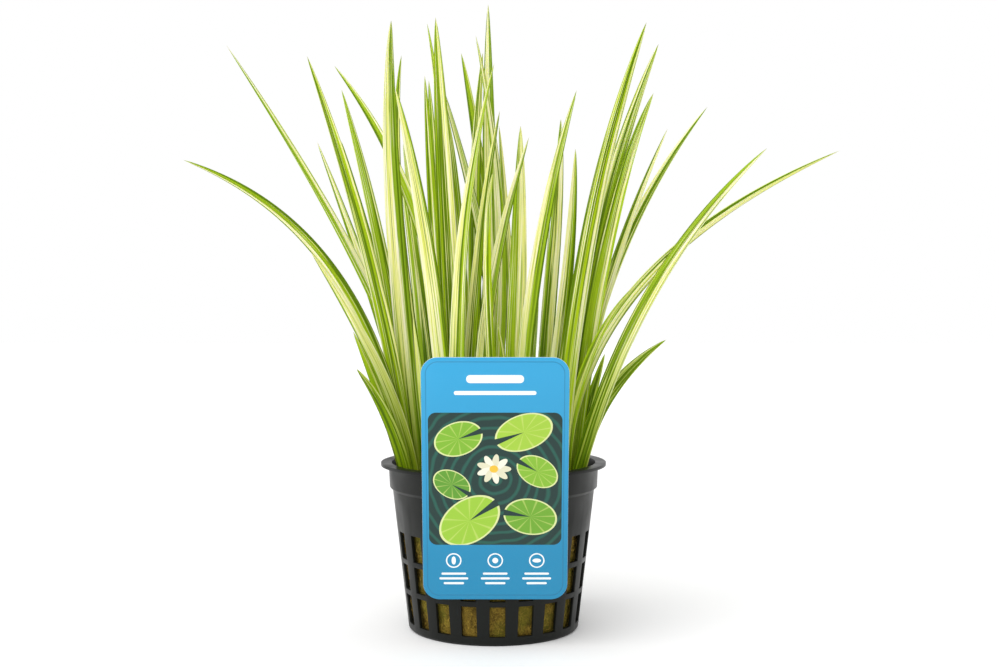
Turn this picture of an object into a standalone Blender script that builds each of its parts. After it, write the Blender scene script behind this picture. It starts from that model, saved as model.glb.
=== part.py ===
"""Potted sweet flag: a round mesh pot, its growing medium, the leaves and a hanging label.

Units are metres and +Z is up. The pot stands on z = 0 with its axis on Z, and the label hangs at -Y.
The leaves stand in flat fans, one fan to a crown, and each crown sits in a pocket in the growing medium.
"""
import math
from collections import namedtuple

import bmesh
import bpy
from mathutils import Matrix, Vector

MM = 0.001

# Pot
RIM_RADIUS = 45.0 * MM
RIM_OPENING_RADIUS = 41.6 * MM
RIM_THICKNESS = 1.2 * MM
POT_HEIGHT = 66.4 * MM
COLLAR_RADIUS = 41.9 * MM
COLLAR_FOOT_RADIUS = 41.5 * MM
COLLAR_FOOT_Z = 56.8 * MM
WALL_TOP_RADIUS = 40.3 * MM
WALL_TOP_Z = 55.6 * MM
BASE_RADIUS = 34.0 * MM
BASE_EDGE = 0.9 * MM
WALL = 1.2 * MM
FLOOR = 1.4 * MM
POT_STEPS = 60

# Slots in the wall, as rows of (lowest, highest) edges, and in the floor
SLOT_COLUMNS = 20
SLOT_PHASE_DEG = 2.7
SLOT_WIDTH = 6.1 * MM
SLOT_ROWS = ((3.5 * MM, 15.3 * MM), (17.3 * MM, 27.5 * MM), (29.5 * MM, 40.0 * MM))
SLOT_INNER = 28.0 * MM
SLOT_OUTER = 48.0 * MM
DRAIN_COUNT = 10
DRAIN_WIDTH = 4.5 * MM
DRAIN_INNER = 15.0 * MM
DRAIN_OUTER = 27.0 * MM

# Growing medium
GAP = 0.3 * MM
MEDIUM_EDGE_Z = 58.8 * MM
MEDIUM_CROWN_Z = 60.4 * MM
MEDIUM_CROWN_RADIUS = 28.0 * MM
POCKET_FLOOR_Z = 50.0 * MM
POCKET_SIDE_MARGIN = 4.6 * MM
POCKET_DEPTH_MARGIN = 2.0 * MM
POCKET_CORNER = 1.4 * MM

# Label card and the tongue that hooks it over the rim
CARD_WIDTH = 54.0 * MM
CARD_LENGTH = 93.4 * MM
CARD_THICKNESS = 0.5 * MM
CARD_CORNER = 6.2 * MM
CARD_X = 0.8 * MM
CARD_BOTTOM_Z = 18.8 * MM
CARD_LEAN_DEG = 10.5
TONGUE_WIDTH = 10.0 * MM
TONGUE_THICKNESS = 0.5 * MM
TONGUE_TOP_Z = 67.0 * MM
TONGUE_END_Z = 60.6 * MM
TONGUE_INNER_Y = -39.7 * MM

# Leaves
LEAF_BASE_Z = 51.0 * MM
LEAF_THICKNESS = 0.85 * MM
LEAF_EDGE_SHARE = 0.45
LEAF_BASE_SHARE = 0.7
LEAF_WIDEST_AT = 0.28
LEAF_TAPER_POWER = 2.0
LEAF_TAPER_EASE = 0.7
DEPTH_SHARE_AT_MIDDLE = 0.35
STATION_PITCH = 16.0 * MM
LEAST_STATIONS = 5

# One leaf, in millimetres and degrees: its foot, a point half-way up, its tip, its greatest width,
# and how much it has turned about itself at the tip
Leaf = namedtuple("Leaf", "foot_x foot_y middle_x middle_z tip_x tip_y tip_z width twist")

# One crown for each fan: the heading of the fan's plane in degrees from +X, and its leaves
CROWNS = {
    "left": (10, (
        Leaf(-32.0, -12.9, -39.2, 81, -52, -28, 105, 5.0, 0),
        Leaf(-31.5, -11.6, -40.5, 84, -53.5, -25, 119, 4.8, 8),
        Leaf(-30.5, -10.3, -41.4, 97, -69.4, -27, 149.6, 5.2, 5),
        Leaf(-32.0, -9.0, -59.4, 138, -116, -34, 183.6, 5.0, 12),
        Leaf(-31.0, -7.7, -46.8, 141, -70.9, -24, 224, 5.8, -10),
        Leaf(-28.0, -6.3, -38.8, 164, -39.4, -16, 239, 7.6, 6),
        Leaf(-27.0, -4.9, -43.5, 123.2, -105.9, -2, 232, 4.8, 15),
        Leaf(-27.0, -3.6, -42.4, 114, -71.4, 8, 195, 5.2, -12),
        Leaf(-29.5, -2.3, -43.0, 138, -63, 22, 218, 6.0, 10),
    )),
    "left_centre": (-14, (
        Leaf(-12.0, -20.4, -12.5, 140, 0.5, -44, 218, 7.0, -50),
        Leaf(-15.5, -18.6, -23.9, 140, -36.5, -34, 210, 7.0, -8),
        Leaf(-12.5, -16.8, -17.1, 148, -22, -22, 239, 8.8, 6),
        Leaf(-23.0, -15.4, -26.0, 80, -31, -20, 125, 3.6, 15),
        Leaf(-10.5, -14.0, -7.5, 132, 2.5, -18, 204, 5.2, -20),
    )),
    "centre": (16, (
        Leaf(4.0, -29.0, 5.5, 89, 1.5, -37, 123, 3.2, 20),
        Leaf(3.5, -27.6, -2.0, 135, 0, -44, 178, 3.4, -30),
        Leaf(-3.5, -25.6, -3.0, 120, 13.4, -35, 192, 5.8, 12),
    )),
    "right_centre": (-12, (
        Leaf(9.5, -19.0, 15.0, 134, 31, -38, 209, 6.0, -8),
        Leaf(6.0, -17.0, 9.1, 128, 10.5, -20, 198, 8.0, 6),
        Leaf(12.0, -15.2, 13.5, 92, 16.5, -15, 128, 4.2, 20),
    )),
    "right_middle": (15, (
        Leaf(25.0, -14.2, 36.0, 151, 57.9, -28, 236, 7.2, -6),
        Leaf(17.0, -12.4, 27.3, 129, 31.5, -22, 189, 6.0, 14),
        Leaf(14.8, -10.6, 23.3, 143, 26.3, -12, 201.5, 5.4, -12),
        Leaf(17.5, -8.8, 21.0, 96, 26.5, 20, 137, 4.0, 25),
    )),
    "right": (-10, (
        Leaf(30.3, -12.0, 58.2, 129, 102.5, -34, 188, 5.6, -10),
        Leaf(28.5, -11.2, 33.7, 98, 52.5, -22, 135, 4.0, 12),
        Leaf(28.5, -9.8, 52.0, 130.4, 132, -25, 188, 4.8, 10),
        Leaf(29.5, -8.4, 43.5, 148, 61.9, -16, 211, 6.4, -8),
        Leaf(28.0, -7.0, 39.3, 147, 64.5, -10, 231, 7.4, 8),
        Leaf(29.5, -5.6, 41.3, 122, 70.1, 6, 200, 4.8, -14),
        Leaf(29.0, -4.2, 46.5, 138, 87.6, 16, 210, 4.8, 10),
        Leaf(32.0, -2.8, 43.1, 88.6, 69.3, 2, 115, 6.6, -8),
        Leaf(30.5, -1.4, 36.4, 80, 45.5, 12, 109, 5.2, 0),
    )),
    "left_back": (-28, (
        Leaf(-17.0, 0.0, -22.5, 140, -27.6, 4, 221, 5.6, 12),
        Leaf(-19.5, 1.6, -17.6, 151, -26.9, 10, 243, 5.6, -10),
        Leaf(-13.5, 3.2, -26.8, 151, -66.2, 24, 228, 5.8, 8),
        Leaf(-21.5, 4.8, -38.0, 156, -39, 34, 234, 4.8, 18),
        Leaf(-16.5, 6.4, -28.5, 128, -39, 42, 198, 4.6, -12),
        Leaf(-22.0, 8.0, -43.0, 125, -64.5, 34, 198, 5.0, 16),
    )),
    "middle": (24, (
        Leaf(-4.0, -2.6, 3.0, 147, -7.2, 4, 237, 5.4, 14),
        Leaf(4.5, -0.6, -0.8, 153, -2.2, 12, 251, 7.4, -12),
        Leaf(3.0, 0.8, -2.0, 137, -23.5, 16, 225, 5.4, 10),
        Leaf(5.0, 2.4, -2.2, 157, -13.8, 34, 235, 5.6, -15),
        Leaf(8.8, 4.1, 6.7, 129, 2.2, 20, 203, 5.7, 14),
        Leaf(-2.5, 5.6, -7.8, 146, -4.5, 21, 233, 6.0, -16),
    )),
    "back": (90, (
        Leaf(-13.7, 19.0, -13.0, 135, -21, 48, 215, 6.0, -75),
        Leaf(-11.2, 22.4, -19.0, 112, -38, 72, 152, 6.0, -10),
        Leaf(-9.2, 19.8, -8.8, 132, -9.5, 62, 176, 5.4, -70),
        Leaf(-7.2, 21.4, -4.1, 122, 0.5, 45, 205, 5.4, -70),
    )),
    "right_back": (82, (
        Leaf(9.4, 20.0, 9.0, 120, 9, 60, 180, 6.0, 10),
        Leaf(11.0, 21.5, 12.0, 112, 14, 82, 158, 5.6, -12),
        Leaf(12.6, 19.5, 16.6, 96, 19.6, 56, 136, 5.6, -8),
        Leaf(14.2, 21.0, 19.5, 112, 24.5, 44, 172, 5.2, 14),
    )),
    "far_left": (135, (
        Leaf(-26.4, 14.0, -31.0, 120, -41, 52, 190, 6.4, 10),
        Leaf(-25.0, 15.4, -24.2, 143, -28.3, 50, 226, 6.4, 40),
    )),
    "far_right": (45, (
        Leaf(26.4, 13.0, 36.0, 110, 56, 64, 150, 5.4, -10),
        Leaf(25.0, 14.4, 32.0, 116, 44, 56, 172, 5.6, 12),
    )),
}


def clear_scene():
    for leftover in list(bpy.data.objects):
        bpy.data.objects.remove(leftover, do_unlink=True)


def new_collection(name):
    collection = bpy.data.collections.new(name)
    bpy.context.scene.collection.children.link(collection)
    return collection


def new_material(name, colour, roughness):
    material = bpy.data.materials.new(name)
    material.use_nodes = True
    shader = material.node_tree.nodes["Principled BSDF"]
    shader.inputs["Base Color"].default_value = (*colour, 1.0)
    shader.inputs["Roughness"].default_value = roughness
    shader.inputs["Metallic"].default_value = 0.0
    material.diffuse_color = (*colour, 1.0)
    return material


def new_object(name, mesh, collection, material=None):
    piece = bpy.data.objects.new(name, mesh)
    if material is not None:
        mesh.materials.append(material)
    collection.objects.link(piece)
    return piece


def mesh_from(name, shape):
    mesh = bpy.data.meshes.new(name)
    shape.to_mesh(mesh)
    shape.free()
    return mesh


def turned(name, profile, steps, collection, material):
    """Turns a profile of (radius, height) points that runs up the inside and down the outside."""
    mesh = bpy.data.meshes.new(name)
    points = [(radius, 0.0, height) for radius, height in profile]
    edges = [(index, index + 1) for index in range(len(points) - 1)]
    mesh.from_pydata(points, edges, [])
    piece = new_object(name, mesh, collection, material)
    screw = piece.modifiers.new("turn", "SCREW")
    screw.axis = "Z"
    screw.angle = math.tau
    screw.steps = steps
    screw.render_steps = steps
    screw.use_merge_vertices = True
    screw.merge_threshold = 0.01 * MM
    screw.use_normal_calculate = True
    return piece


def add_box(shape, centre, size, turn=0.0):
    """Adds a cube scaled to the size, moved to the centre and then turned about the Z axis."""
    matrix = Matrix.Rotation(turn, 4, "Z") @ Matrix.Translation(centre) @ Matrix.Diagonal((*size, 1.0))
    return bmesh.ops.create_cube(shape, size=1.0, matrix=matrix)["verts"]


def round_edges(shape, verts, direction, radius, segments):
    """Rounds the edges between these vertices that run along a direction."""
    edges = {edge for vert in verts for edge in vert.link_edges}
    along = [edge for edge in edges
             if abs((edge.verts[1].co - edge.verts[0].co).normalized().dot(direction)) > 0.99]
    bmesh.ops.bevel(shape, geom=along, offset=radius, offset_type="OFFSET", segments=segments,
                    profile=0.5, affect="EDGES")


def make_cutter(name, shape, collection):
    cutter = new_object(name, mesh_from(name, shape), collection)
    cutter.hide_render = True
    cutter.display_type = "WIRE"
    return cutter


def cut(piece, cutter, shapes_overlap=False):
    boolean = piece.modifiers.new("cut by " + cutter.name, "BOOLEAN")
    boolean.operation = "DIFFERENCE"
    boolean.solver = "EXACT"
    boolean.use_self = shapes_overlap
    boolean.object = cutter


def front_angle(column_deg):
    """The turn about Z that brings a shape from +X to an angle counted from the front towards +X."""
    return math.radians(column_deg - 90.0)


def build_pot(collection, cutters):
    inner_wall_top = WALL_TOP_RADIUS - WALL
    collar_inner = COLLAR_FOOT_RADIUS - WALL
    profile = (
        (0.0, FLOOR),
        (BASE_RADIUS - WALL - BASE_EDGE, FLOOR),
        (BASE_RADIUS - WALL, FLOOR + BASE_EDGE),
        (inner_wall_top, WALL_TOP_Z),
        (collar_inner, COLLAR_FOOT_Z),
        (COLLAR_RADIUS - WALL, POT_HEIGHT - RIM_THICKNESS),
        (RIM_OPENING_RADIUS, POT_HEIGHT),
        (RIM_RADIUS - 0.2 * MM, POT_HEIGHT),
        (RIM_RADIUS, POT_HEIGHT - 0.3 * MM),
        (RIM_RADIUS, POT_HEIGHT - RIM_THICKNESS),
        (COLLAR_RADIUS, POT_HEIGHT - RIM_THICKNESS),
        (COLLAR_FOOT_RADIUS, COLLAR_FOOT_Z),
        (WALL_TOP_RADIUS, WALL_TOP_Z),
        (BASE_RADIUS, BASE_EDGE),
        (BASE_RADIUS - BASE_EDGE, 0.0),
        (0.0, 0.0),
    )
    plastic = new_material("near-black moulded plastic", (0.028, 0.032, 0.031), 0.42)
    pot = turned("mesh_pot", profile, POT_STEPS, collection, plastic)

    slots = bmesh.new()
    slot_middle = (SLOT_INNER + SLOT_OUTER) / 2
    for column in range(SLOT_COLUMNS):
        turn = front_angle(SLOT_PHASE_DEG + column * 360.0 / SLOT_COLUMNS)
        for low, high in SLOT_ROWS:
            centre = Vector((slot_middle, 0.0, (low + high) / 2))
            add_box(slots, centre, (SLOT_OUTER - SLOT_INNER, SLOT_WIDTH, high - low), turn)
    cut(pot, make_cutter("wall_slot_cutter", slots, cutters))

    drains = bmesh.new()
    drain_middle = (DRAIN_INNER + DRAIN_OUTER) / 2
    for number in range(DRAIN_COUNT):
        turn = front_angle(SLOT_PHASE_DEG + number * 360.0 / DRAIN_COUNT)
        centre = Vector((drain_middle, 0.0, FLOOR / 2))
        add_box(drains, centre, (DRAIN_OUTER - DRAIN_INNER, DRAIN_WIDTH, 3 * FLOOR), turn)
    cut(pot, make_cutter("drain_slot_cutter", drains, cutters))
    return pot


def fan_frame(heading_deg):
    """The horizontal directions along a fan's plane and across it."""
    heading = math.radians(heading_deg)
    along = Vector((math.cos(heading), math.sin(heading), 0.0))
    across = Vector((-along.y, along.x, 0.0))
    return along, across


def add_pocket(shape, heading_deg, leaves):
    """Adds an upright round-cornered block round the feet of one crown's leaves."""
    along, across = fan_frame(heading_deg)
    feet = [Vector((leaf.foot_x, leaf.foot_y, 0.0)) * MM for leaf in leaves]
    spans = []
    for direction in (along, across):
        places = [foot.dot(direction) for foot in feet]
        spans.append((min(places), max(places)))
    (along_low, along_high), (across_low, across_high) = spans
    height = MEDIUM_CROWN_Z + 2 * MM - POCKET_FLOOR_Z
    centre = Vector(((along_low + along_high) / 2, (across_low + across_high) / 2,
                     POCKET_FLOOR_Z + height / 2))
    size = (along_high - along_low + 2 * POCKET_SIDE_MARGIN,
            across_high - across_low + 2 * POCKET_DEPTH_MARGIN, height)
    verts = add_box(shape, centre, size, math.radians(heading_deg))
    round_edges(shape, verts, Vector((0.0, 0.0, 1.0)), POCKET_CORNER, 1)


def build_medium(collection, cutters):
    inner_wall_top = WALL_TOP_RADIUS - WALL
    profile = (
        (0.0, MEDIUM_CROWN_Z),
        (MEDIUM_CROWN_RADIUS, MEDIUM_CROWN_Z - 0.3 * MM),
        (COLLAR_FOOT_RADIUS - WALL - GAP, MEDIUM_EDGE_Z),
        (inner_wall_top - GAP, WALL_TOP_Z),
        (BASE_RADIUS - WALL - GAP, FLOOR + BASE_EDGE),
        (BASE_RADIUS - WALL - BASE_EDGE - GAP, FLOOR + GAP),
        (0.0, FLOOR + GAP),
    )
    compost = new_material("fibrous brown growing medium", (0.19, 0.13, 0.03), 0.95)
    medium = turned("growing_medium", profile, POT_STEPS // 2, collection, compost)
    pockets = bmesh.new()
    for heading, leaves in CROWNS.values():
        add_pocket(pockets, heading, leaves)
    cut(medium, make_cutter("crown_pocket_cutter", pockets, cutters), shapes_overlap=True)
    return medium


def leaf_route(leaf):
    """The foot, the curve's control point and the tip of a leaf that passes through its middle."""
    middle_y = leaf.foot_y + DEPTH_SHARE_AT_MIDDLE * (leaf.tip_y - leaf.foot_y)
    foot = Vector((leaf.foot_x * MM, leaf.foot_y * MM, LEAF_BASE_Z))
    middle = Vector((leaf.middle_x, middle_y, leaf.middle_z)) * MM
    tip = Vector((leaf.tip_x, leaf.tip_y, leaf.tip_z)) * MM
    return foot, 2 * middle - (foot + tip) / 2, tip


def route_point(route, share):
    foot, control, tip = route
    rest = 1.0 - share
    return rest * rest * foot + 2 * rest * share * control + share * share * tip


def route_direction(route, share):
    foot, control, tip = route
    return ((1.0 - share) * (control - foot) + share * (tip - control)).normalized()


def width_share(share):
    """The leaf's width at a share of its length: a little narrower at its foot, pointed at its tip."""
    if share < LEAF_WIDEST_AT:
        return LEAF_BASE_SHARE + (1.0 - LEAF_BASE_SHARE) * math.sin(math.pi / 2 * share / LEAF_WIDEST_AT)
    beyond = (share - LEAF_WIDEST_AT) / (1.0 - LEAF_WIDEST_AT)
    return max(0.0, 1.0 - beyond ** LEAF_TAPER_POWER) ** LEAF_TAPER_EASE


def leaf_shape(leaf, heading_deg):
    """Lays a four-sided cone along the leaf's route: two thin edges and a midrib on either face."""
    route = leaf_route(leaf)
    length = sum((route_point(route, (step + 1) / 12) - route_point(route, step / 12)).length
                 for step in range(12))
    stations = max(LEAST_STATIONS, round(length / STATION_PITCH))
    shape = bmesh.new()
    bmesh.ops.create_cone(shape, cap_ends=True, segments=4, radius1=1.0, radius2=0.0, depth=1.0,
                          matrix=Matrix.Translation((0.0, 0.0, 0.5)))
    for station in range(1, stations):
        bmesh.ops.bisect_plane(shape, geom=shape.verts[:] + shape.edges[:] + shape.faces[:],
                               plane_co=(0.0, 0.0, station / stations), plane_no=(0.0, 0.0, 1.0))
    for vert in shape.verts:
        share = min(max(vert.co.z, 0.0), 1.0)
        spread = max(1.0 - share, 1e-6)
        side, face = vert.co.x / spread, vert.co.y / spread
        along, _ = fan_frame(heading_deg + leaf.twist * share)
        direction = route_direction(route, share)
        across_blade = (along - along.dot(direction) * direction).normalized()
        out_of_face = direction.cross(across_blade)
        taper = width_share(share)
        half_width = leaf.width * MM / 2 * taper
        thin = LEAF_EDGE_SHARE + (1.0 - LEAF_EDGE_SHARE) * taper if share < 1.0 else 0.0
        half_thickness = LEAF_THICKNESS / 2 * thin
        vert.co = (route_point(route, share) + side * half_width * across_blade
                   + face * half_thickness * out_of_face)
    return shape


def build_leaves(collection):
    greens = new_material("green and cream leaf", (0.30, 0.46, 0.07), 0.45)
    for crown, (heading, leaves) in CROWNS.items():
        for number, leaf in enumerate(leaves, start=1):
            name = f"leaf_{crown}_{number}"
            mesh = mesh_from(name, leaf_shape(leaf, heading))
            new_object(name, mesh, collection, greens)


def build_label(collection, cutters):
    """The card leans on the rim, and its tongue runs back over the rim and down inside the collar."""
    lean = math.radians(CARD_LEAN_DEG)
    card = bmesh.new()
    verts = add_box(card, Vector(), (CARD_WIDTH, CARD_THICKNESS, CARD_LENGTH))
    round_edges(card, verts, Vector((0.0, 1.0, 0.0)), CARD_CORNER, 5)
    contact_z = POT_HEIGHT - 0.3 * MM
    back_y = -RIM_RADIUS - GAP
    middle_z = CARD_BOTTOM_Z + CARD_LENGTH / 2 * math.cos(lean)
    middle_y = back_y - CARD_THICKNESS / 2 - (middle_z - contact_z) * math.tan(lean)
    place = Matrix.Translation((CARD_X, middle_y, middle_z)) @ Matrix.Rotation(lean, 4, "X")
    bmesh.ops.transform(card, matrix=place, verts=card.verts[:])
    print_film = new_material("printed plastic card", (0.035, 0.39, 0.68), 0.3)
    label = new_object("plant_label", mesh_from("plant_label", card), collection, print_film)

    tongue = bmesh.new()
    card_y = back_y - (TONGUE_TOP_Z - contact_z) * math.tan(lean) - CARD_THICKNESS / 2
    reach = TONGUE_INNER_Y + TONGUE_THICKNESS / 2 - card_y
    add_box(tongue, Vector((CARD_X, card_y + reach / 2, TONGUE_TOP_Z)),
            (TONGUE_WIDTH, reach, TONGUE_THICKNESS))
    drop = TONGUE_TOP_Z - TONGUE_END_Z
    hook = bmesh.new()
    add_box(hook, Vector((CARD_X, TONGUE_INNER_Y, TONGUE_END_Z + drop / 2)),
            (TONGUE_WIDTH - 0.5 * MM, TONGUE_THICKNESS, drop))
    for name, shape in (("tongue_top_tool", tongue), ("tongue_hook_tool", hook)):
        join = label.modifiers.new("join " + name, "BOOLEAN")
        join.operation = "UNION"
        join.solver = "EXACT"
        join.object = make_cutter(name, shape, cutters)
    return label


def main():
    clear_scene()
    parts = new_collection("potted_sweet_flag")
    cutters = new_collection("cutters")
    build_pot(parts, cutters)
    build_medium(parts, cutters)
    build_leaves(parts)
    build_label(parts, cutters)


if __name__ == "__main__":
    main()
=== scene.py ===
"""Dresses the potted sweet flag: the mesh pot, the growing medium, every leaf blade and the label card.

Units are metres and +Z is up. The pot stands on z = 0 with its axis on Z, and the label hangs at -Y.
"""
import math
import random
from collections import namedtuple
from contextlib import contextmanager

import bmesh
import bpy
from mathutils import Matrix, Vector


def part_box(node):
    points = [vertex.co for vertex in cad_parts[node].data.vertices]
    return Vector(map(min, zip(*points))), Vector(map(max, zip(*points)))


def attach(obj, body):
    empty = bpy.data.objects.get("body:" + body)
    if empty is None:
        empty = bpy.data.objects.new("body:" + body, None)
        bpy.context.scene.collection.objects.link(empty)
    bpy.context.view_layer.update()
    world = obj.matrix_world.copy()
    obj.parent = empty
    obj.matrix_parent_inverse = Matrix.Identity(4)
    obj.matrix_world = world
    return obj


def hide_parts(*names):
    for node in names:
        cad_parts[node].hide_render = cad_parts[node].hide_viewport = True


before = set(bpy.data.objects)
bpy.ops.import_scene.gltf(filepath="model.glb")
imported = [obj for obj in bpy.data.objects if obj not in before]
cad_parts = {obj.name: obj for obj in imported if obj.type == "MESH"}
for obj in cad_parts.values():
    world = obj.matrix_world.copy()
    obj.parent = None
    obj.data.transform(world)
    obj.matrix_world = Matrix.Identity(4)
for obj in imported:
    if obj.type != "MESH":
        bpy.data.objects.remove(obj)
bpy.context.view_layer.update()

bl_info = {
    "name": "Potted sweet flag",
    "version": (1, 0, 0),
    "blender": (4, 5, 0),
    "location": "View3D > Sidebar > Sweet flag",
    "description": "Builds the pot, growing medium, leaves and label of a potted sweet flag",
    "category": "Add Mesh",
}

MM = 0.001

# Places shared by the pieces, read from the frame
POT_LOW, POT_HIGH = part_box("mesh_pot")
RIM_RADIUS = (POT_HIGH.x - POT_LOW.x) / 2
POT_HEIGHT = POT_HIGH.z - POT_LOW.z
MEDIUM_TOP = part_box("growing_medium")[1].z

# Pot
RIM_THICKNESS = 1.2 * MM
COLLAR_RADIUS = 41.9 * MM
COLLAR_FOOT_RADIUS = 41.5 * MM
COLLAR_FOOT_Z = 56.8 * MM
WALL_TOP_RADIUS = 40.3 * MM
WALL_TOP_Z = 55.6 * MM
BASE_RADIUS = 34.0 * MM
BASE_EDGE = 0.9 * MM
POT_HUB_RADIUS = 7.0 * MM
SLOT_COLUMNS = 20
SLOT_PHASE_DEG = 2.7
SLOT_ROWS = ((3.5 * MM, 15.3 * MM), (17.3 * MM, 27.5 * MM), (29.5 * MM, 40.0 * MM))
DRAIN_EVERY = 2
DRAIN_WIDTH = 4.5 * MM
DRAIN_WIDTH_PER_RADIUS = 0.29
DRAIN_INNER = 15.0 * MM
DRAIN_OUTER = 27.0 * MM
SIDES_PER_COLUMN = 7

# Growing medium
MEDIUM_SETBACK = 1.0 * MM
MEDIUM_FOOT_Z = 2.0 * MM
MEDIUM_SHOULDER_Z = 58.4 * MM
MEDIUM_PITCH = 0.8 * MM
MEDIUM_SIDES = 300
MEDIUM_FOOT_RADII = (29.0 * MM, 24.0 * MM, 18.0 * MM, 12.0 * MM, 6.0 * MM)
FIBRES_IN_SLOTS = 1900
FIBRES_ON_TOP = 1300
MOSS_TUFTS = 70
FRONDS_PER_TUFT = 40
FROND_RADIUS = 0.13 * MM

# Leaves
LEAF_BASE_Z = 51.0 * MM
DEPTH_SHARE_AT_MIDDLE = 0.35
LEAF_WIDEST_AT = 0.28
LEAF_TAPER_POWER = 2.0
LEAF_TAPER_EASE = 0.7
BLADE_STATIONS = 48
# Heights over which painted shade greens and darkens the blades towards their foot
FOOT_SHADE_FULL_Z = 58.0 * MM
FOOT_SHADE_END_Z = 112.0 * MM
CREAM_SHADE_END_Z = 138.0 * MM
BLADE_NOTES = ("across", "along", "vein", "cream_from", "cream_to", "tone", "margin", "seed")

# Label card
CARD_WIDTH = 54.0 * MM
CARD_LENGTH = 93.4 * MM
CARD_X = 0.8 * MM
CARD_BOTTOM_Z = 18.8 * MM
CARD_LEAN_DEG = 10.5
CARD_GAP = 0.3 * MM
TONGUE_WIDTH = 10.0 * MM
TONGUE_INNER_Y = -39.7 * MM
TONGUE_TOP_Z = 67.0 * MM
TONGUE_END_Z = 60.6 * MM

# Stage, with the camera fitted to the rim and base of the photographed pot
FLOOR_SIZE = 6.0
KEY_LIGHT_FROM = (-0.6, -0.8, 1.0)
KEY_LIGHT_SPREAD_DEG = 75
CAMERA_PLACE = (2.39 * MM, -555.0 * MM, 134.5 * MM)
CAMERA_DOWN = 0.0305
CAMERA_LENS = 50.0
CAMERA_SENSOR = 36.0

# One leaf, in millimetres and degrees, as in the solids: its foot, a point half-way up, its tip, its
# greatest width and its turn at the tip. Then its stripe, as seen from the front, with -1 its left edge
# and 1 its right: where the cream starts and ends at the foot, how far that shifts on the way to the tip,
# the tone of its green, from 0 for yellow-green to 1 for blue-green, and the left and right margins:
# 1 dark, -1 pale, 0 plain.
Leaf = namedtuple("Leaf", "foot_x foot_y middle_x middle_z tip_x tip_y tip_z width twist "
                          "cream_from cream_to drift tone left_margin right_margin")

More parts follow.
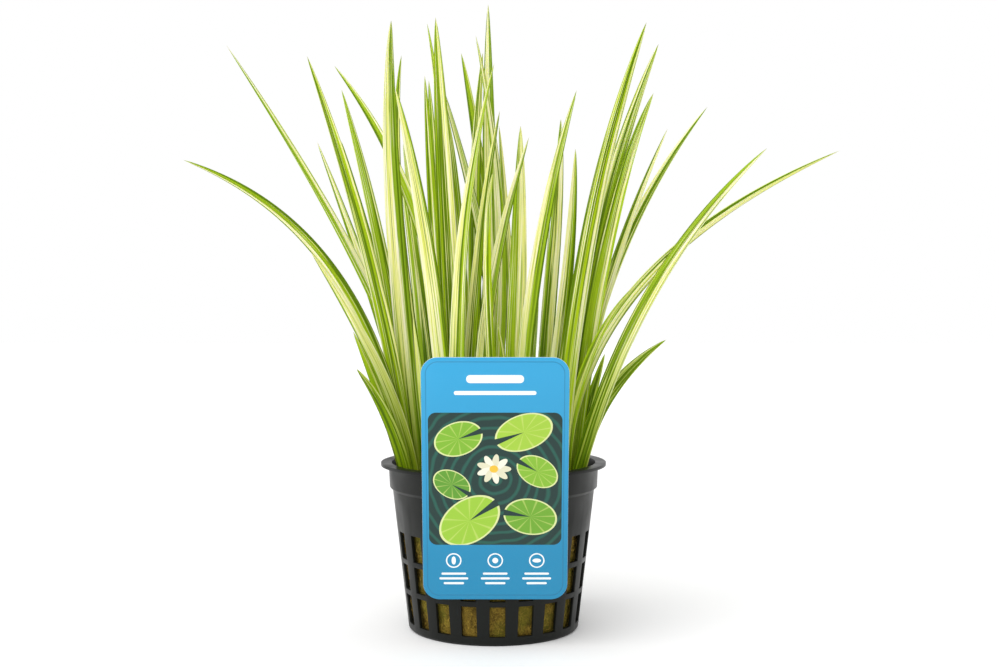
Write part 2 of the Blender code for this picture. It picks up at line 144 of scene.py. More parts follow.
CROWNS = {
    "left": (10, (
        Leaf(-32.0, -12.9, -39.2, 81, -52, -28, 105, 5.0, 0, 0.50, 0.90, 0.0, 0.35, 1, 0),
        Leaf(-31.5, -11.6, -40.5, 84, -53.5, -25, 119, 4.8, 8, 0.05, 0.50, 0.0, 0.30, 1, 0),
        Leaf(-30.5, -10.3, -41.4, 97, -69.4, -27, 149.6, 5.2, 5, -0.72, 1.10, 0.0, 0.30, 1, -1),
        Leaf(-32.0, -9.0, -59.4, 138, -116, -34, 183.6, 5.0, 12, -0.84, -0.30, 0.0, 0.30, 1, 1),
        Leaf(-31.0, -7.7, -46.8, 141, -70.9, -24, 224, 5.8, -10, 0.55, 0.95, 0.0, 0.10, -1, 0),
        Leaf(-28.0, -6.3, -38.8, 164, -39.4, -16, 239, 7.6, 6, -1.10, 0.60, -0.9, 0.60, 0, 1),
        Leaf(-27.0, -4.9, -43.5, 123.2, -105.9, -2, 232, 4.8, 15, 0.55, 1.30, -0.8, 0.60, 0, -1),
        Leaf(-27.0, -3.6, -42.4, 114, -71.4, 8, 195, 5.2, -12, -0.50, 0.55, 0.0, 0.60, 1, 1),
        Leaf(-29.5, -2.3, -43.0, 138, -63, 22, 218, 6.0, 10, 0.55, 0.85, 0.0, 0.45, -1, 0),
    )),
    "left_centre": (-14, (
        Leaf(-12.0, -20.4, -12.5, 140, 0.5, -44, 218, 7.0, -50, -1.10, -0.05, 0.0, 0.35, -1, 0),
        Leaf(-15.5, -18.6, -23.9, 140, -36.5, -34, 210, 7.0, -8, -1.10, 0.50, 0.0, 0.15, 0, 1),
        Leaf(-12.5, -16.8, -17.1, 148, -22, -22, 239, 8.8, 6, 0.85, 1.60, -1.0, 0.15, 0, 1),
        Leaf(-23.0, -15.4, -26.0, 80, -31, -20, 125, 3.6, 15, -1.10, 0.60, 0.0, 0.20, 0, 0),
        Leaf(-10.5, -14.0, -7.5, 132, 2.5, -18, 204, 5.2, -20, -1.10, 0.00, 0.0, 0.30, -1, 1),
    )),
    "centre": (16, (
        Leaf(4.0, -29.0, 5.5, 89, 1.5, -37, 123, 3.2, 20, -0.30, 0.40, 0.0, 0.00, 0, 0),
        Leaf(3.5, -27.6, -2.0, 135, 0, -44, 178, 3.4, -30, -1.10, -0.30, 0.0, 0.00, 0, 0),
        Leaf(-3.5, -25.6, -3.0, 120, 13.4, -35, 192, 5.8, 12, -1.10, 0.00, 0.0, 0.65, -1, 1),
    )),
    "right_centre": (-12, (
        Leaf(9.5, -19.0, 15.0, 134, 31, -38, 209, 6.0, -8, -1.10, 0.05, -0.3, 0.40, 0, 1),
        Leaf(6.0, -17.0, 9.1, 128, 10.5, -20, 198, 8.0, 6, -0.05, 1.10, 0.0, 0.25, 0, 0),
        Leaf(12.0, -15.2, 13.5, 92, 16.5, -15, 128, 4.2, 20, -0.10, 0.25, 0.0, 0.90, 0, 0),
    )),
    "right_middle": (15, (
        Leaf(25.0, -14.2, 36.0, 151, 57.9, -28, 236, 7.2, -6, 0.35, 0.75, 0.0, 0.05, 0, -1),
        Leaf(17.0, -12.4, 27.3, 129, 31.5, -22, 189, 6.0, 14, -1.10, -0.10, 0.0, 0.40, -1, 1),
        Leaf(14.8, -10.6, 23.3, 143, 26.3, -12, 201.5, 5.4, -12, -0.05, 0.85, 0.0, 0.60, 0, 1),
        Leaf(17.5, -8.8, 21.0, 96, 26.5, 20, 137, 4.0, 25, -1.10, 0.50, 0.0, 0.20, 0, 0),
    )),
    "right": (-10, (
        Leaf(30.3, -12.0, 58.2, 129, 102.5, -34, 188, 5.6, -10, 0.15, 0.85, 0.0, 0.50, 0, -1),
        Leaf(28.5, -11.2, 33.7, 98, 52.5, -22, 135, 4.0, 12, -0.30, 0.30, 0.0, 0.30, 0, 0),
        Leaf(28.5, -9.8, 52.0, 130.4, 132, -25, 188, 4.8, 10, -0.20, 1.10, 0.0, 0.40, -1, 1),
        Leaf(29.5, -8.4, 43.5, 148, 61.9, -16, 211, 6.4, -8, 0.25, 0.70, 0.0, 0.35, 1, 0),
        Leaf(28.0, -7.0, 39.3, 147, 64.5, -10, 231, 7.4, 8, -0.80, -0.35, 0.0, 0.40, 0, -1),
        Leaf(29.5, -5.6, 41.3, 122, 70.1, 6, 200, 4.8, -14, -0.10, 1.10, 0.0, 0.75, 1, -1),
        Leaf(29.0, -4.2, 46.5, 138, 87.6, 16, 210, 4.8, 10, -1.10, -0.30, 0.0, 0.70, -1, -1),
        Leaf(32.0, -2.8, 43.1, 88.6, 69.3, 2, 115, 6.6, -8, -0.75, -0.35, 0.0, 0.50, 0, 0),
        Leaf(30.5, -1.4, 36.4, 80, 45.5, 12, 109, 5.2, 0, 0.40, 0.80, 0.0, 0.05, 0, 0),
    )),
    "left_back": (-28, (
        Leaf(-17.0, 0.0, -22.5, 140, -27.6, 4, 221, 5.6, 12, -0.20, 0.20, 0.0, 0.10, 1, 1),
        Leaf(-19.5, 1.6, -17.6, 151, -26.9, 10, 243, 5.6, -10, -1.10, -0.45, 0.0, 0.30, 0, 1),
        Leaf(-13.5, 3.2, -26.8, 151, -66.2, 24, 228, 5.8, 8, 0.35, 0.95, 0.0, 0.30, 1, 0),
        Leaf(-21.5, 4.8, -38.0, 156, -39, 34, 234, 4.8, 18, 0.45, 0.85, 0.0, 0.45, 0, 1),
        Leaf(-16.5, 6.4, -28.5, 128, -39, 42, 198, 4.6, -12, -0.75, -0.35, 0.0, 0.50, 0, 1),
        Leaf(-22.0, 8.0, -43.0, 125, -64.5, 34, 198, 5.0, 16, -0.85, -0.45, 0.0, 0.40, 0, 1),
    )),
    "middle": (24, (
        Leaf(-4.0, -2.6, 3.0, 147, -7.2, 4, 237, 5.4, 14, -0.60, 0.15, 0.0, 0.40, 0, 1),
        Leaf(4.5, -0.6, -0.8, 153, -2.2, 12, 251, 7.4, -12, -0.75, 0.25, 0.0, 0.70, 1, 1),
        Leaf(3.0, 0.8, -2.0, 137, -23.5, 16, 225, 5.4, 10, -0.75, -0.25, 0.0, 0.40, 1, 1),
        Leaf(5.0, 2.4, -2.2, 157, -13.8, 34, 235, 5.6, -15, 0.45, 0.85, 0.0, 0.30, 1, 0),
        Leaf(8.8, 4.1, 6.7, 129, 2.2, 20, 203, 5.7, 14, 0.10, 1.10, 0.0, 0.60, 1, 1),
        Leaf(-2.5, 5.6, -7.8, 146, -4.5, 21, 233, 6.0, -16, -0.05, 0.35, 0.0, 0.30, 0, 1),
    )),
    "back": (90, (
        Leaf(-13.7, 19.0, -13.0, 135, -21, 48, 215, 6.0, -75, -0.75, -0.45, 0.0, 0.40, 0, 0),
        Leaf(-11.2, 22.4, -19.0, 112, -38, 72, 152, 6.0, -10, 0.55, 0.85, 0.0, 0.50, 0, 1),
        Leaf(-9.2, 19.8, -8.8, 132, -9.5, 62, 176, 5.4, -70, -0.65, -0.35, 0.0, 0.25, 1, 0),
        Leaf(-7.2, 21.4, -4.1, 122, 0.5, 45, 205, 5.4, -70, 0.55, 0.90, 0.0, 0.60, 0, 0),
    )),
    "right_back": (82, (
        Leaf(9.4, 20.0, 9.0, 120, 9, 60, 180, 6.0, 10, -0.85, -0.50, 0.0, 0.55, 0, 1),
        Leaf(11.0, 21.5, 12.0, 112, 14, 82, 158, 5.6, -12, 0.45, 0.80, 0.0, 0.35, 0, 1),
        Leaf(12.6, 19.5, 16.6, 96, 19.6, 56, 136, 5.6, -8, -0.05, 0.30, 0.0, 0.45, 1, 1),
        Leaf(14.2, 21.0, 19.5, 112, 24.5, 44, 172, 5.2, 14, -0.80, -0.35, 0.0, 0.30, 0, 0),
    )),
    "far_left": (135, (
        Leaf(-26.4, 14.0, -31.0, 120, -41, 52, 190, 6.4, 10, 0.45, 0.80, 0.0, 0.45, 0, 1),
        Leaf(-25.0, 15.4, -24.2, 143, -28.3, 50, 226, 6.4, 40, -0.75, -0.35, 0.0, 0.60, 0, 0),
    )),
    "far_right": (45, (
        Leaf(26.4, 13.0, 36.0, 110, 56, 64, 150, 5.4, -10, -0.75, -0.35, 0.0, 0.35, 1, 0),
        Leaf(25.0, 14.4, 32.0, 116, 44, 56, 172, 5.6, 12, 0.45, 0.90, 0.0, 0.50, 0, 0),
    )),
}


def linear(colour):
    """The linear red, green and blue of an sRGB hex colour."""
    parts = [int(colour[place:place + 2], 16) / 255 for place in (1, 3, 5)]
    return tuple(part / 12.92 if part <= 0.04045 else ((part + 0.055) / 1.055) ** 2.4 for part in parts)


def add_node(tree, kind, inputs=None, output=0, **settings):
    """Adds a node, gives it its settings and its inputs' values or links, and returns one of its outputs."""
    made = tree.nodes.new("ShaderNode" + kind)
    for name, value in settings.items():
        setattr(made, name, value)
    for socket, value in (inputs or {}).items():
        if isinstance(value, bpy.types.NodeSocket):
            tree.links.new(value, made.inputs[socket])
        elif isinstance(value, tuple) and made.inputs[socket].type == "RGBA":
            made.inputs[socket].default_value = (*value[:3], 1.0)
        else:
            made.inputs[socket].default_value = value
    return made.outputs[output]


def new_material(name, **sockets):
    """A material with one shader, whose sockets take a value or a link, and that material's node tree."""
    material = bpy.data.materials.new(name)
    material.use_nodes = True
    tree = material.node_tree
    shader = tree.nodes["Principled BSDF"]
    for socket, value in sockets.items():
        shader.inputs[socket.replace("_", " ")].default_value = value
    return material, tree, shader


def deselect_all():
    bpy.ops.object.select_all(action="DESELECT")


def named(name):
    """Names the object that an operator has just added, and its mesh."""
    piece = bpy.context.object
    piece.name = name
    piece.data.name = name
    return piece


def make_active(piece):
    deselect_all()
    piece.select_set(True)
    bpy.context.view_layer.objects.active = piece


@contextmanager
def edit_mode(piece):
    """Opens a piece in edit mode and yields its edit mesh."""
    make_active(piece)
    bpy.ops.object.mode_set(mode="EDIT")
    yield bmesh.from_edit_mesh(piece.data)
    bpy.ops.object.mode_set(mode="OBJECT")


def pick(piece, shape, kind, wanted):
    """Selects only the vertices, edges or faces of an open edit mesh for which wanted is true."""
    bpy.ops.mesh.select_mode(type=kind)
    bpy.ops.mesh.select_all(action="DESELECT")
    parts = {"VERT": shape.verts, "EDGE": shape.edges, "FACE": shape.faces}[kind]
    for part in parts:
        if wanted(part):
            part.select_set(True)
    shape.select_flush_mode()
    bmesh.update_edit_mesh(piece.data)


def apply_modifier(piece, kind, **settings):
    make_active(piece)
    modifier = piece.modifiers.new(kind.lower(), kind)
    for name, value in settings.items():
        setattr(modifier, name, value)
    bpy.ops.object.modifier_apply(modifier=modifier.name)


def settle(piece, slot, *nodes):
    """Lays a finished piece's place into its mesh, has it ride on the pot's body and stand for its nodes."""
    make_active(piece)
    bpy.ops.object.transform_apply(location=True, rotation=True, scale=True)
    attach(piece, "root")
    if nodes:
        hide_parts(*nodes)
    return piece


class PotProperties(bpy.types.PropertyGroup):
    wall: bpy.props.FloatProperty(
        name="Wall", description="Thickness of the moulded wall", default=1.2 * MM, unit="LENGTH")
    slot_width: bpy.props.FloatProperty(
        name="Slot width", description="Width of one slot in the wall", default=6.1 * MM, unit="LENGTH")
    edge_round: bpy.props.FloatProperty(
        name="Edge rounding", description="Rounding of the moulded edges", default=0.22 * MM, unit="LENGTH")
    colour: bpy.props.FloatVectorProperty(
        name="Plastic", description="Colour of the pot's plastic", default=linear("#131512"), subtype="COLOR")


class MediumProperties(bpy.types.PropertyGroup):
    fibre_width: bpy.props.FloatProperty(
        name="Fibre width", description="Width of one coir fibre", default=0.16 * MM, unit="LENGTH")
    fibre: bpy.props.FloatVectorProperty(
        name="Fibre", description="Colour of the coir fibres", default=linear("#BE9E42"), subtype="COLOR")
    moss: bpy.props.FloatVectorProperty(
        name="Moss", description="Colour of the moss", default=linear("#6E7420"), subtype="COLOR")


class LeafProperties(bpy.types.PropertyGroup):
    thickness: bpy.props.FloatProperty(
        name="Thickness", description="Thickness of a blade at its midrib", default=0.9 * MM, unit="LENGTH")
    cream: bpy.props.FloatVectorProperty(
        name="Cream", description="Colour of the cream half", default=linear("#FFF8DE"), subtype="COLOR")
    yellow_green: bpy.props.FloatVectorProperty(
        name="Yellow-green", description="Green of the youngest leaves", default=linear("#B4CC18"),
        subtype="COLOR")
    blue_green: bpy.props.FloatVectorProperty(
        name="Blue-green", description="Green of the oldest leaves", default=linear("#84A636"),
        subtype="COLOR")
    deep_green: bpy.props.FloatVectorProperty(
        name="Deep green", description="Green of the dark streaks", default=linear("#64820A"),
        subtype="COLOR")


class LabelProperties(bpy.types.PropertyGroup):
    thickness: bpy.props.FloatProperty(
        name="Thickness", description="Thickness of the card", default=0.5 * MM, unit="LENGTH")
    corner: bpy.props.FloatProperty(
        name="Corner radius", description="Radius of the card's corners", default=6.2 * MM, unit="LENGTH")
    # The ground's darker colour at the foot is painted shade; the same colour also inks the signs' inner
    # rings
    colour: bpy.props.FloatVectorProperty(
        name="Card", description="Ground colour at the foot of the printed card", default=linear("#1489B6"),
        subtype="COLOR")


class StageProperties(bpy.types.PropertyGroup):
    floor: bpy.props.FloatVectorProperty(
        name="Floor", description="Colour of the floor", default=linear("#FAFAFA"), subtype="COLOR")
    room_light: bpy.props.FloatProperty(
        name="Room light", description="Strength of the light from all round", default=0.76, min=0.0)
    key_light: bpy.props.FloatProperty(
        name="Key light", description="Strength of the soft light from the upper left", default=1.88, min=0.0)


def pot_plastic(colour):
    """Injection-moulded polypropylene: near black, with a finely grained satin skin."""
    material, tree, shader = new_material("moulded black polypropylene", Base_Color=(*colour, 1.0), IOR=1.49,
                                          Specular_IOR_Level=0.2)
    place = add_node(tree, "TexCoord", output="Object")
    grain_size = 0.35 * MM
    grain = add_node(tree, "TexNoise", {"Vector": place, "Scale": 1 / grain_size, "Detail": 2.0}, "Fac")
    flow_size = 14.0 * MM
    flow = add_node(tree, "TexNoise", {"Vector": place, "Scale": 1 / flow_size, "Detail": 3.0}, "Fac")
    worn = add_node(tree, "MapRange", {"Value": flow, "From Min": 0.35, "From Max": 0.7,
                                       "To Min": 0.34, "To Max": 0.50})
    bump = add_node(tree, "Bump", {"Height": grain, "Strength": 0.12, "Distance": 0.02 * MM}, "Normal")
    tree.links.new(worn, shader.inputs["Roughness"])
    tree.links.new(bump, shader.inputs["Normal"])
    return material


def half_slot_angle(radius, width):
    return math.asin(width / 2 / radius)


def pot_rings():
    """The pot's outer skin as rings of (radius, height), from the floor's hub out and up to the rim."""
    rings = [(DRAIN_INNER, 0.0), (DRAIN_OUTER, 0.0), (BASE_RADIUS - BASE_EDGE, 0.0), (BASE_RADIUS, BASE_EDGE)]
    slope = (WALL_TOP_RADIUS - BASE_RADIUS) / (WALL_TOP_Z - BASE_EDGE)
    for low, high in SLOT_ROWS:
        rings.append((BASE_RADIUS + slope * (low - BASE_EDGE), low))
        rings.append((BASE_RADIUS + slope * (high - BASE_EDGE), high))
    rings += [(WALL_TOP_RADIUS, WALL_TOP_Z), (COLLAR_FOOT_RADIUS, COLLAR_FOOT_Z),
              (COLLAR_RADIUS, POT_HEIGHT - RIM_THICKNESS), (RIM_RADIUS, POT_HEIGHT - RIM_THICKNESS)]
    return rings


def place_side(number, radius, slot_width):
    """The angle of one of the pot's vertical lines, so that each slot keeps parallel sides."""
    column, line = divmod(number, SIDES_PER_COLUMN)
    half_pitch = math.pi / SLOT_COLUMNS
    half_slot = half_slot_angle(radius, slot_width)
    between = (half_pitch + half_slot) / 2
    offsets = (-half_pitch, -between, -half_slot, -half_slot / 3, half_slot / 3, half_slot, between)
    centre = math.radians(SLOT_PHASE_DEG - 90.0) + 2 * half_pitch * column
    return centre + offsets[line]


class SWEETFLAG_OT_pot(bpy.types.Operator):
    """Build the mesh pot"""
    bl_idname = "sweetflag.pot"
    bl_label = "Mesh pot"

    def execute(self, context):
        sizes = context.scene.sweetflag_pot
        sides = SLOT_COLUMNS * SIDES_PER_COLUMN
        deselect_all()
        bpy.ops.mesh.primitive_circle_add(vertices=sides, radius=POT_HUB_RADIUS, fill_type="TRIFAN")
        pot = named("pot_shell")
        rings = [(POT_HUB_RADIUS, 0.0)] + pot_rings()
        with edit_mode(pot) as shape:
            pick(pot, shape, "EDGE", lambda edge: edge.is_boundary)
            for (radius, height), (next_radius, next_height) in zip(rings, rings[1:]):
                bpy.ops.mesh.extrude_region_move(
                    TRANSFORM_OT_translate={"value": (0.0, 0.0, next_height - height)})
                grow = next_radius / radius
                bpy.ops.transform.resize(value=(grow, grow, 1.0), center_override=(0.0, 0.0, next_height))
            shape = bmesh.from_edit_mesh(pot.data)
            self.set_lines(shape, sizes.slot_width, sides)
            self.open_slots(pot, shape, sizes.slot_width)
            bpy.ops.mesh.select_all(action="SELECT")
            bpy.ops.mesh.normals_make_consistent(inside=False)
            shape = bmesh.from_edit_mesh(pot.data)
            floor_faces = [face for face in shape.faces if face.calc_center_median().z < BASE_EDGE / 2]
            if sum(face.normal.z for face in floor_faces) > 0.0:
                bpy.ops.mesh.flip_normals()
        apply_modifier(pot, "SOLIDIFY", thickness=sizes.wall, offset=-1.0, use_even_offset=True)
        apply_modifier(pot, "BEVEL", width=sizes.edge_round, segments=2, limit_method="ANGLE",
                       angle_limit=math.radians(32), harden_normals=False)
        bpy.ops.object.shade_smooth_by_angle(angle=math.radians(35))
        pot.data.materials.append(pot_plastic(sizes.colour))
        settle(pot, "pot_plastic", "mesh_pot")
        return {"FINISHED"}

    @staticmethod
    def set_lines(shape, slot_width, sides):
        """Moves each ring's vertices sideways onto the lines beside the slots and drains."""
        for vert in shape.verts:
            radius = math.hypot(vert.co.x, vert.co.y)
            if radius < POT_HUB_RADIUS / 2:
                continue
            turn = math.atan2(vert.co.x, vert.co.y) % math.tau
            number = round(turn / math.tau * sides) % sides
            in_wall = vert.co.z > BASE_EDGE / 2
            width = slot_width if in_wall else min(DRAIN_WIDTH, radius * DRAIN_WIDTH_PER_RADIUS)
            angle = place_side(number, radius, width)
            vert.co.x = radius * math.cos(angle)
            vert.co.y = radius * math.sin(angle)

    @staticmethod
    def open_slots(pot, shape, slot_width):
        """Deletes the faces where the slots and the drains are."""
        half_pitch = math.pi / SLOT_COLUMNS

        def inside(face):
            middle = face.calc_center_median()
            radius = math.hypot(middle.x, middle.y)
            angle = math.atan2(middle.y, middle.x) - math.radians(SLOT_PHASE_DEG - 90.0)
            column = round(angle / (2 * half_pitch))
            offset = abs(angle - 2 * half_pitch * column)
            if middle.z < BASE_EDGE / 4:
                in_ring = DRAIN_INNER < radius < DRAIN_OUTER
                has_drain = in_ring and column % DRAIN_EVERY == 0
                return has_drain and offset < half_slot_angle(radius, DRAIN_WIDTH)
            in_row = any(low < middle.z < high for low, high in SLOT_ROWS)
            return in_row and offset < half_slot_angle(radius, slot_width)

        pick(pot, shape, "FACE", inside)
        bpy.ops.mesh.delete(type="FACE")


def compost_material(fibre, moss):
    """Coir and peat: a rough golden-brown mat with dark gaps, mossy in patches, and no shine at all."""
    material, tree, shader = new_material("coir and peat", Roughness=0.95, Specular_IOR_Level=0.15)
    place = add_node(tree, "TexCoord", output="Object")
    strand_size = 0.55 * MM
    strands = add_node(tree, "TexNoise", {"Vector": place, "Scale": 1 / strand_size, "Detail": 5.0,
                                          "Roughness": 0.7, "Distortion": 1.2}, "Fac")
    clump_size = 4.5 * MM
    clumps = add_node(tree, "TexNoise", {"Vector": place, "Scale": 1 / clump_size, "Detail": 3.0}, "Fac")
    moss_size = 16.0 * MM
    patches = add_node(tree, "TexNoise", {"Vector": place, "Scale": 1 / moss_size, "Detail": 4.0}, "Fac")
    lit = add_node(tree, "MapRange", {"Value": strands, "From Min": 0.36, "From Max": 0.68})
    ground = add_node(tree, "Mix", {0: lit, 6: linear("#372A08"), 7: tuple(fibre)}, 2, data_type="RGBA")
    dark = add_node(tree, "MapRange", {"Value": clumps, "From Min": 0.35, "From Max": 0.6,
                                       "To Min": 0.55, "To Max": 1.0})
    shaded = add_node(tree, "Mix", {0: 1.0, 6: ground, 7: dark}, 2, data_type="RGBA", blend_type="MULTIPLY")
    mossy = add_node(tree, "MapRange", {"Value": patches, "From Min": 0.46, "From Max": 0.62,
                                        "To Min": 0.0, "To Max": 0.4})
    grown = add_node(tree, "Mix", {0: mossy, 6: shaded, 7: tuple(moss)}, 2, data_type="RGBA")
    bump = add_node(tree, "Bump", {"Height": strands, "Strength": 0.9, "Distance": 0.35 * MM}, "Normal")
    tree.links.new(grown, shader.inputs["Base Color"])
    tree.links.new(bump, shader.inputs["Normal"])
    return material


def strand_material(name, light, dark, size):
    """Dry plant fibre or living moss: dull strands, each of a slightly different shade along its length."""
    material, tree, shader = new_material(name, Roughness=0.8, Specular_IOR_Level=0.25)
    place = add_node(tree, "TexCoord", output="Object")
    shade = add_node(tree, "TexNoise", {"Vector": place, "Scale": 1 / size, "Detail": 2.0}, "Fac")
    spread = add_node(tree, "MapRange", {"Value": shade, "From Min": 0.35, "From Max": 0.65})
    colour = add_node(tree, "Mix", {0: spread, 6: dark, 7: light}, 2, data_type="RGBA")
    tree.links.new(colour, shader.inputs["Base Color"])
    return material


def medium_radius(height):
    """The radius of the medium's side at a height, a little inside the pot's wall."""
    share = (height - BASE_EDGE) / (WALL_TOP_Z - BASE_EDGE)
    outer = BASE_RADIUS + share * (WALL_TOP_RADIUS - BASE_RADIUS)
    wall = bpy.context.scene.sweetflag_pot.wall
    return min(outer, WALL_TOP_RADIUS) - wall - MEDIUM_SETBACK


def medium_rings():
    """The rings of the medium, from the middle of its top out, down its side and in under it."""
    top_radius = medium_radius(MEDIUM_SHOULDER_Z)
    rings = []
    count = round(top_radius / MEDIUM_PITCH)
    for number in range(2, count + 1):
        share = number / count
        rings.append((top_radius * share, MEDIUM_TOP - (MEDIUM_TOP - MEDIUM_SHOULDER_Z) * share ** 3))
    count = round((MEDIUM_SHOULDER_Z - MEDIUM_FOOT_Z) / MEDIUM_PITCH)
    for number in range(1, count + 1):
        height = MEDIUM_SHOULDER_Z + (MEDIUM_FOOT_Z - MEDIUM_SHOULDER_Z) * number / count
        rings.append((medium_radius(height), height))
    rings += [(radius, MEDIUM_FOOT_Z) for radius in MEDIUM_FOOT_RADII]
    return rings


class SWEETFLAG_OT_medium(bpy.types.Operator):
    """Build the block of growing medium"""
    bl_idname = "sweetflag.medium"
    bl_label = "Growing medium"

    def execute(self, context):
        colours = context.scene.sweetflag_medium
        rings = medium_rings()
        deselect_all()
        bpy.ops.mesh.primitive_circle_add(vertices=MEDIUM_SIDES, radius=rings[0][0], fill_type="TRIFAN",
                                          location=(0.0, 0.0, rings[0][1]))
        block = named("medium_block")
        bpy.ops.object.transform_apply(location=True)
        with edit_mode(block) as shape:
            pick(block, shape, "EDGE", lambda edge: edge.is_boundary)
            for (radius, height), (next_radius, next_height) in zip(rings, rings[1:]):
                bpy.ops.mesh.extrude_region_move(
                    TRANSFORM_OT_translate={"value": (0.0, 0.0, next_height - height)})
                grow = next_radius / radius
                bpy.ops.transform.resize(value=(grow, grow, 1.0), center_override=(0.0, 0.0, next_height))
            bpy.ops.mesh.edge_face_add()
            bpy.ops.mesh.select_all(action="SELECT")
            bpy.ops.mesh.normals_make_consistent(inside=False)
        for name, size, strength in (("lumps", 7.0 * MM, 1.1 * MM), ("clods", 2.2 * MM, 0.9 * MM),
                                     ("strands", 0.9 * MM, 0.7 * MM)):
            pattern = bpy.data.textures.new(name, "CLOUDS")
            pattern.noise_scale = size
            pattern.noise_depth = 2
            apply_modifier(block, "DISPLACE", texture=pattern, texture_coords="LOCAL", strength=strength,
                           mid_level=0.6)
        bpy.ops.object.shade_smooth()
        block.data.materials.append(compost_material(colours.fibre, colours.moss))
        settle(block, "medium", "growing_medium")
        return {"FINISHED"}


def straight_strand(sides, joints):
    """The points and faces of a straight strand from 0 to 1 on X, of radius 1 and pointed at its far end."""
    deselect_all()
    bpy.ops.mesh.primitive_cone_add(vertices=sides, radius1=1.0, radius2=0.0, depth=1.0,
                                    location=(0.5, 0.0, 0.0), rotation=(0.0, math.radians(90), 0.0))
    strand = named("strand_pattern")
    bpy.ops.object.transform_apply(location=True, rotation=True)
    with edit_mode(strand):
        for joint in range(1, joints):
            bpy.ops.mesh.select_all(action="SELECT")
            bpy.ops.mesh.bisect(plane_co=(joint / joints, 0.0, 0.0), plane_no=(1.0, 0.0, 0.0))
    points = [vert.co.copy() for vert in strand.data.vertices]
    faces = [tuple(face.vertices) for face in strand.data.polygons]
    bpy.data.objects.remove(strand)
    return points, faces


def lay_strands(name, pattern, routes, material):
    """Lays a copy of the pattern strand along each route of (root, heading, bend, length, radius)."""
    points, faces = pattern
    all_points = []
    all_faces = []
    for root, heading, bend, length, radius in routes:
        start = len(all_points)
        side = heading.cross(bend)
        if side.length < 1e-6:
            side = heading.orthogonal()
        side.normalize()
        for point in points:
            along = point.x
            centre = root + heading * (length * along) + bend * (length * along * along)
            lift = (heading + 2 * along * bend).normalized().cross(side)
            thick = radius * (1.0 - 0.45 * along) / max(1.0 - along, 0.02) if along < 1.0 else 0.0
            all_points.append(centre + (side * point.y + lift * point.z) * thick)
        all_faces += [tuple(start + index for index in face) for face in faces]
    mesh = bpy.data.meshes.new(name)
    mesh.from_pydata(all_points, [], all_faces)
    mesh.materials.append(material)
    tangle = bpy.data.objects.new(name, mesh)
    bpy.context.scene.collection.objects.link(tangle)
    return tangle


def random_direction(rng):
    lift = rng.uniform(-1.0, 1.0)
    turn = rng.uniform(0.0, math.tau)
    flat = math.sqrt(1.0 - lift * lift)
    return Vector((flat * math.cos(turn), flat * math.sin(turn), lift))


def slot_fibres(rng, count, radius):
    """Fibres that lie on the medium's side, behind the slots."""
    half_pitch = math.pi / SLOT_COLUMNS
    reach = 0.62 * half_pitch
    for _ in range(count):
        column = rng.randrange(SLOT_COLUMNS)
        low, high = SLOT_ROWS[rng.randrange(len(SLOT_ROWS))]
        angle = math.radians(SLOT_PHASE_DEG - 90.0) + 2 * half_pitch * column + rng.uniform(-reach, reach)
        height = rng.uniform(low, high)
        outward = Vector((math.cos(angle), math.sin(angle), 0.0))
        tangent = Vector((-outward.y, outward.x, 0.0))
        turn = rng.uniform(0.0, math.tau)
        heading = tangent * math.cos(turn) + Vector((0.0, 0.0, math.sin(turn)))
        length = rng.uniform(1.8, 5.0) * MM
        bend = random_direction(rng) * 0.3 - outward * 0.25
        if height + (heading.z + bend.z) * length < low - 1.0 * MM:
            heading.z, bend.z = abs(heading.z), abs(bend.z)
        root = outward * (medium_radius(height) + rng.uniform(-0.1, 0.45) * MM)
        yield root + Vector((0.0, 0.0, height)), heading, bend, length, radius * rng.uniform(0.6, 1.3) / 2


def top_fibres(rng, count, radius):
    """Loose fibres that lie on top of the medium."""
    edge = medium_radius(MEDIUM_SHOULDER_Z) - 1.0 * MM
    for _ in range(count):
        distance = edge * math.sqrt(rng.random())
        angle = rng.uniform(0.0, math.tau)
        root = Vector((distance * math.cos(angle), distance * math.sin(angle), MEDIUM_TOP - 0.9 * MM))
        heading = random_direction(rng)
        heading.z = abs(heading.z) * 0.25
        heading.normalize()
        length = rng.uniform(2.5, 7.0) * MM
        end = root + heading * length
        if math.hypot(end.x, end.y) > edge:
            heading.x, heading.y = -heading.x, -heading.y
        bend = Vector((rng.uniform(-0.3, 0.3), rng.uniform(-0.3, 0.3), rng.uniform(-0.35, 0.0)))
        yield root, heading, bend, length, radius * rng.uniform(0.6, 1.4) / 2


def moss_fronds(rng, tufts, fronds, radius):
    """Short upright fronds in tufts on top of the medium."""
    edge = medium_radius(MEDIUM_SHOULDER_Z) - 2.0 * MM
    for _ in range(tufts):
        distance = edge * math.sqrt(rng.random())
        angle = rng.uniform(0.0, math.tau)
        middle = Vector((distance * math.cos(angle), distance * math.sin(angle), MEDIUM_TOP - 1.2 * MM))
        spread = rng.uniform(1.2, 3.2) * MM
        for _ in range(fronds):
            offset = Vector((rng.gauss(0.0, spread / 2), rng.gauss(0.0, spread / 2), 0.0))
            root = middle + offset
            if math.hypot(root.x, root.y) > edge:
                continue
            heading = (Vector((0.0, 0.0, 1.0)) + random_direction(rng) * 0.55).normalized()
            bend = random_direction(rng) * 0.35
            yield root, heading, bend, rng.uniform(0.9, 1.8) * MM, radius * rng.uniform(0.7, 1.5)


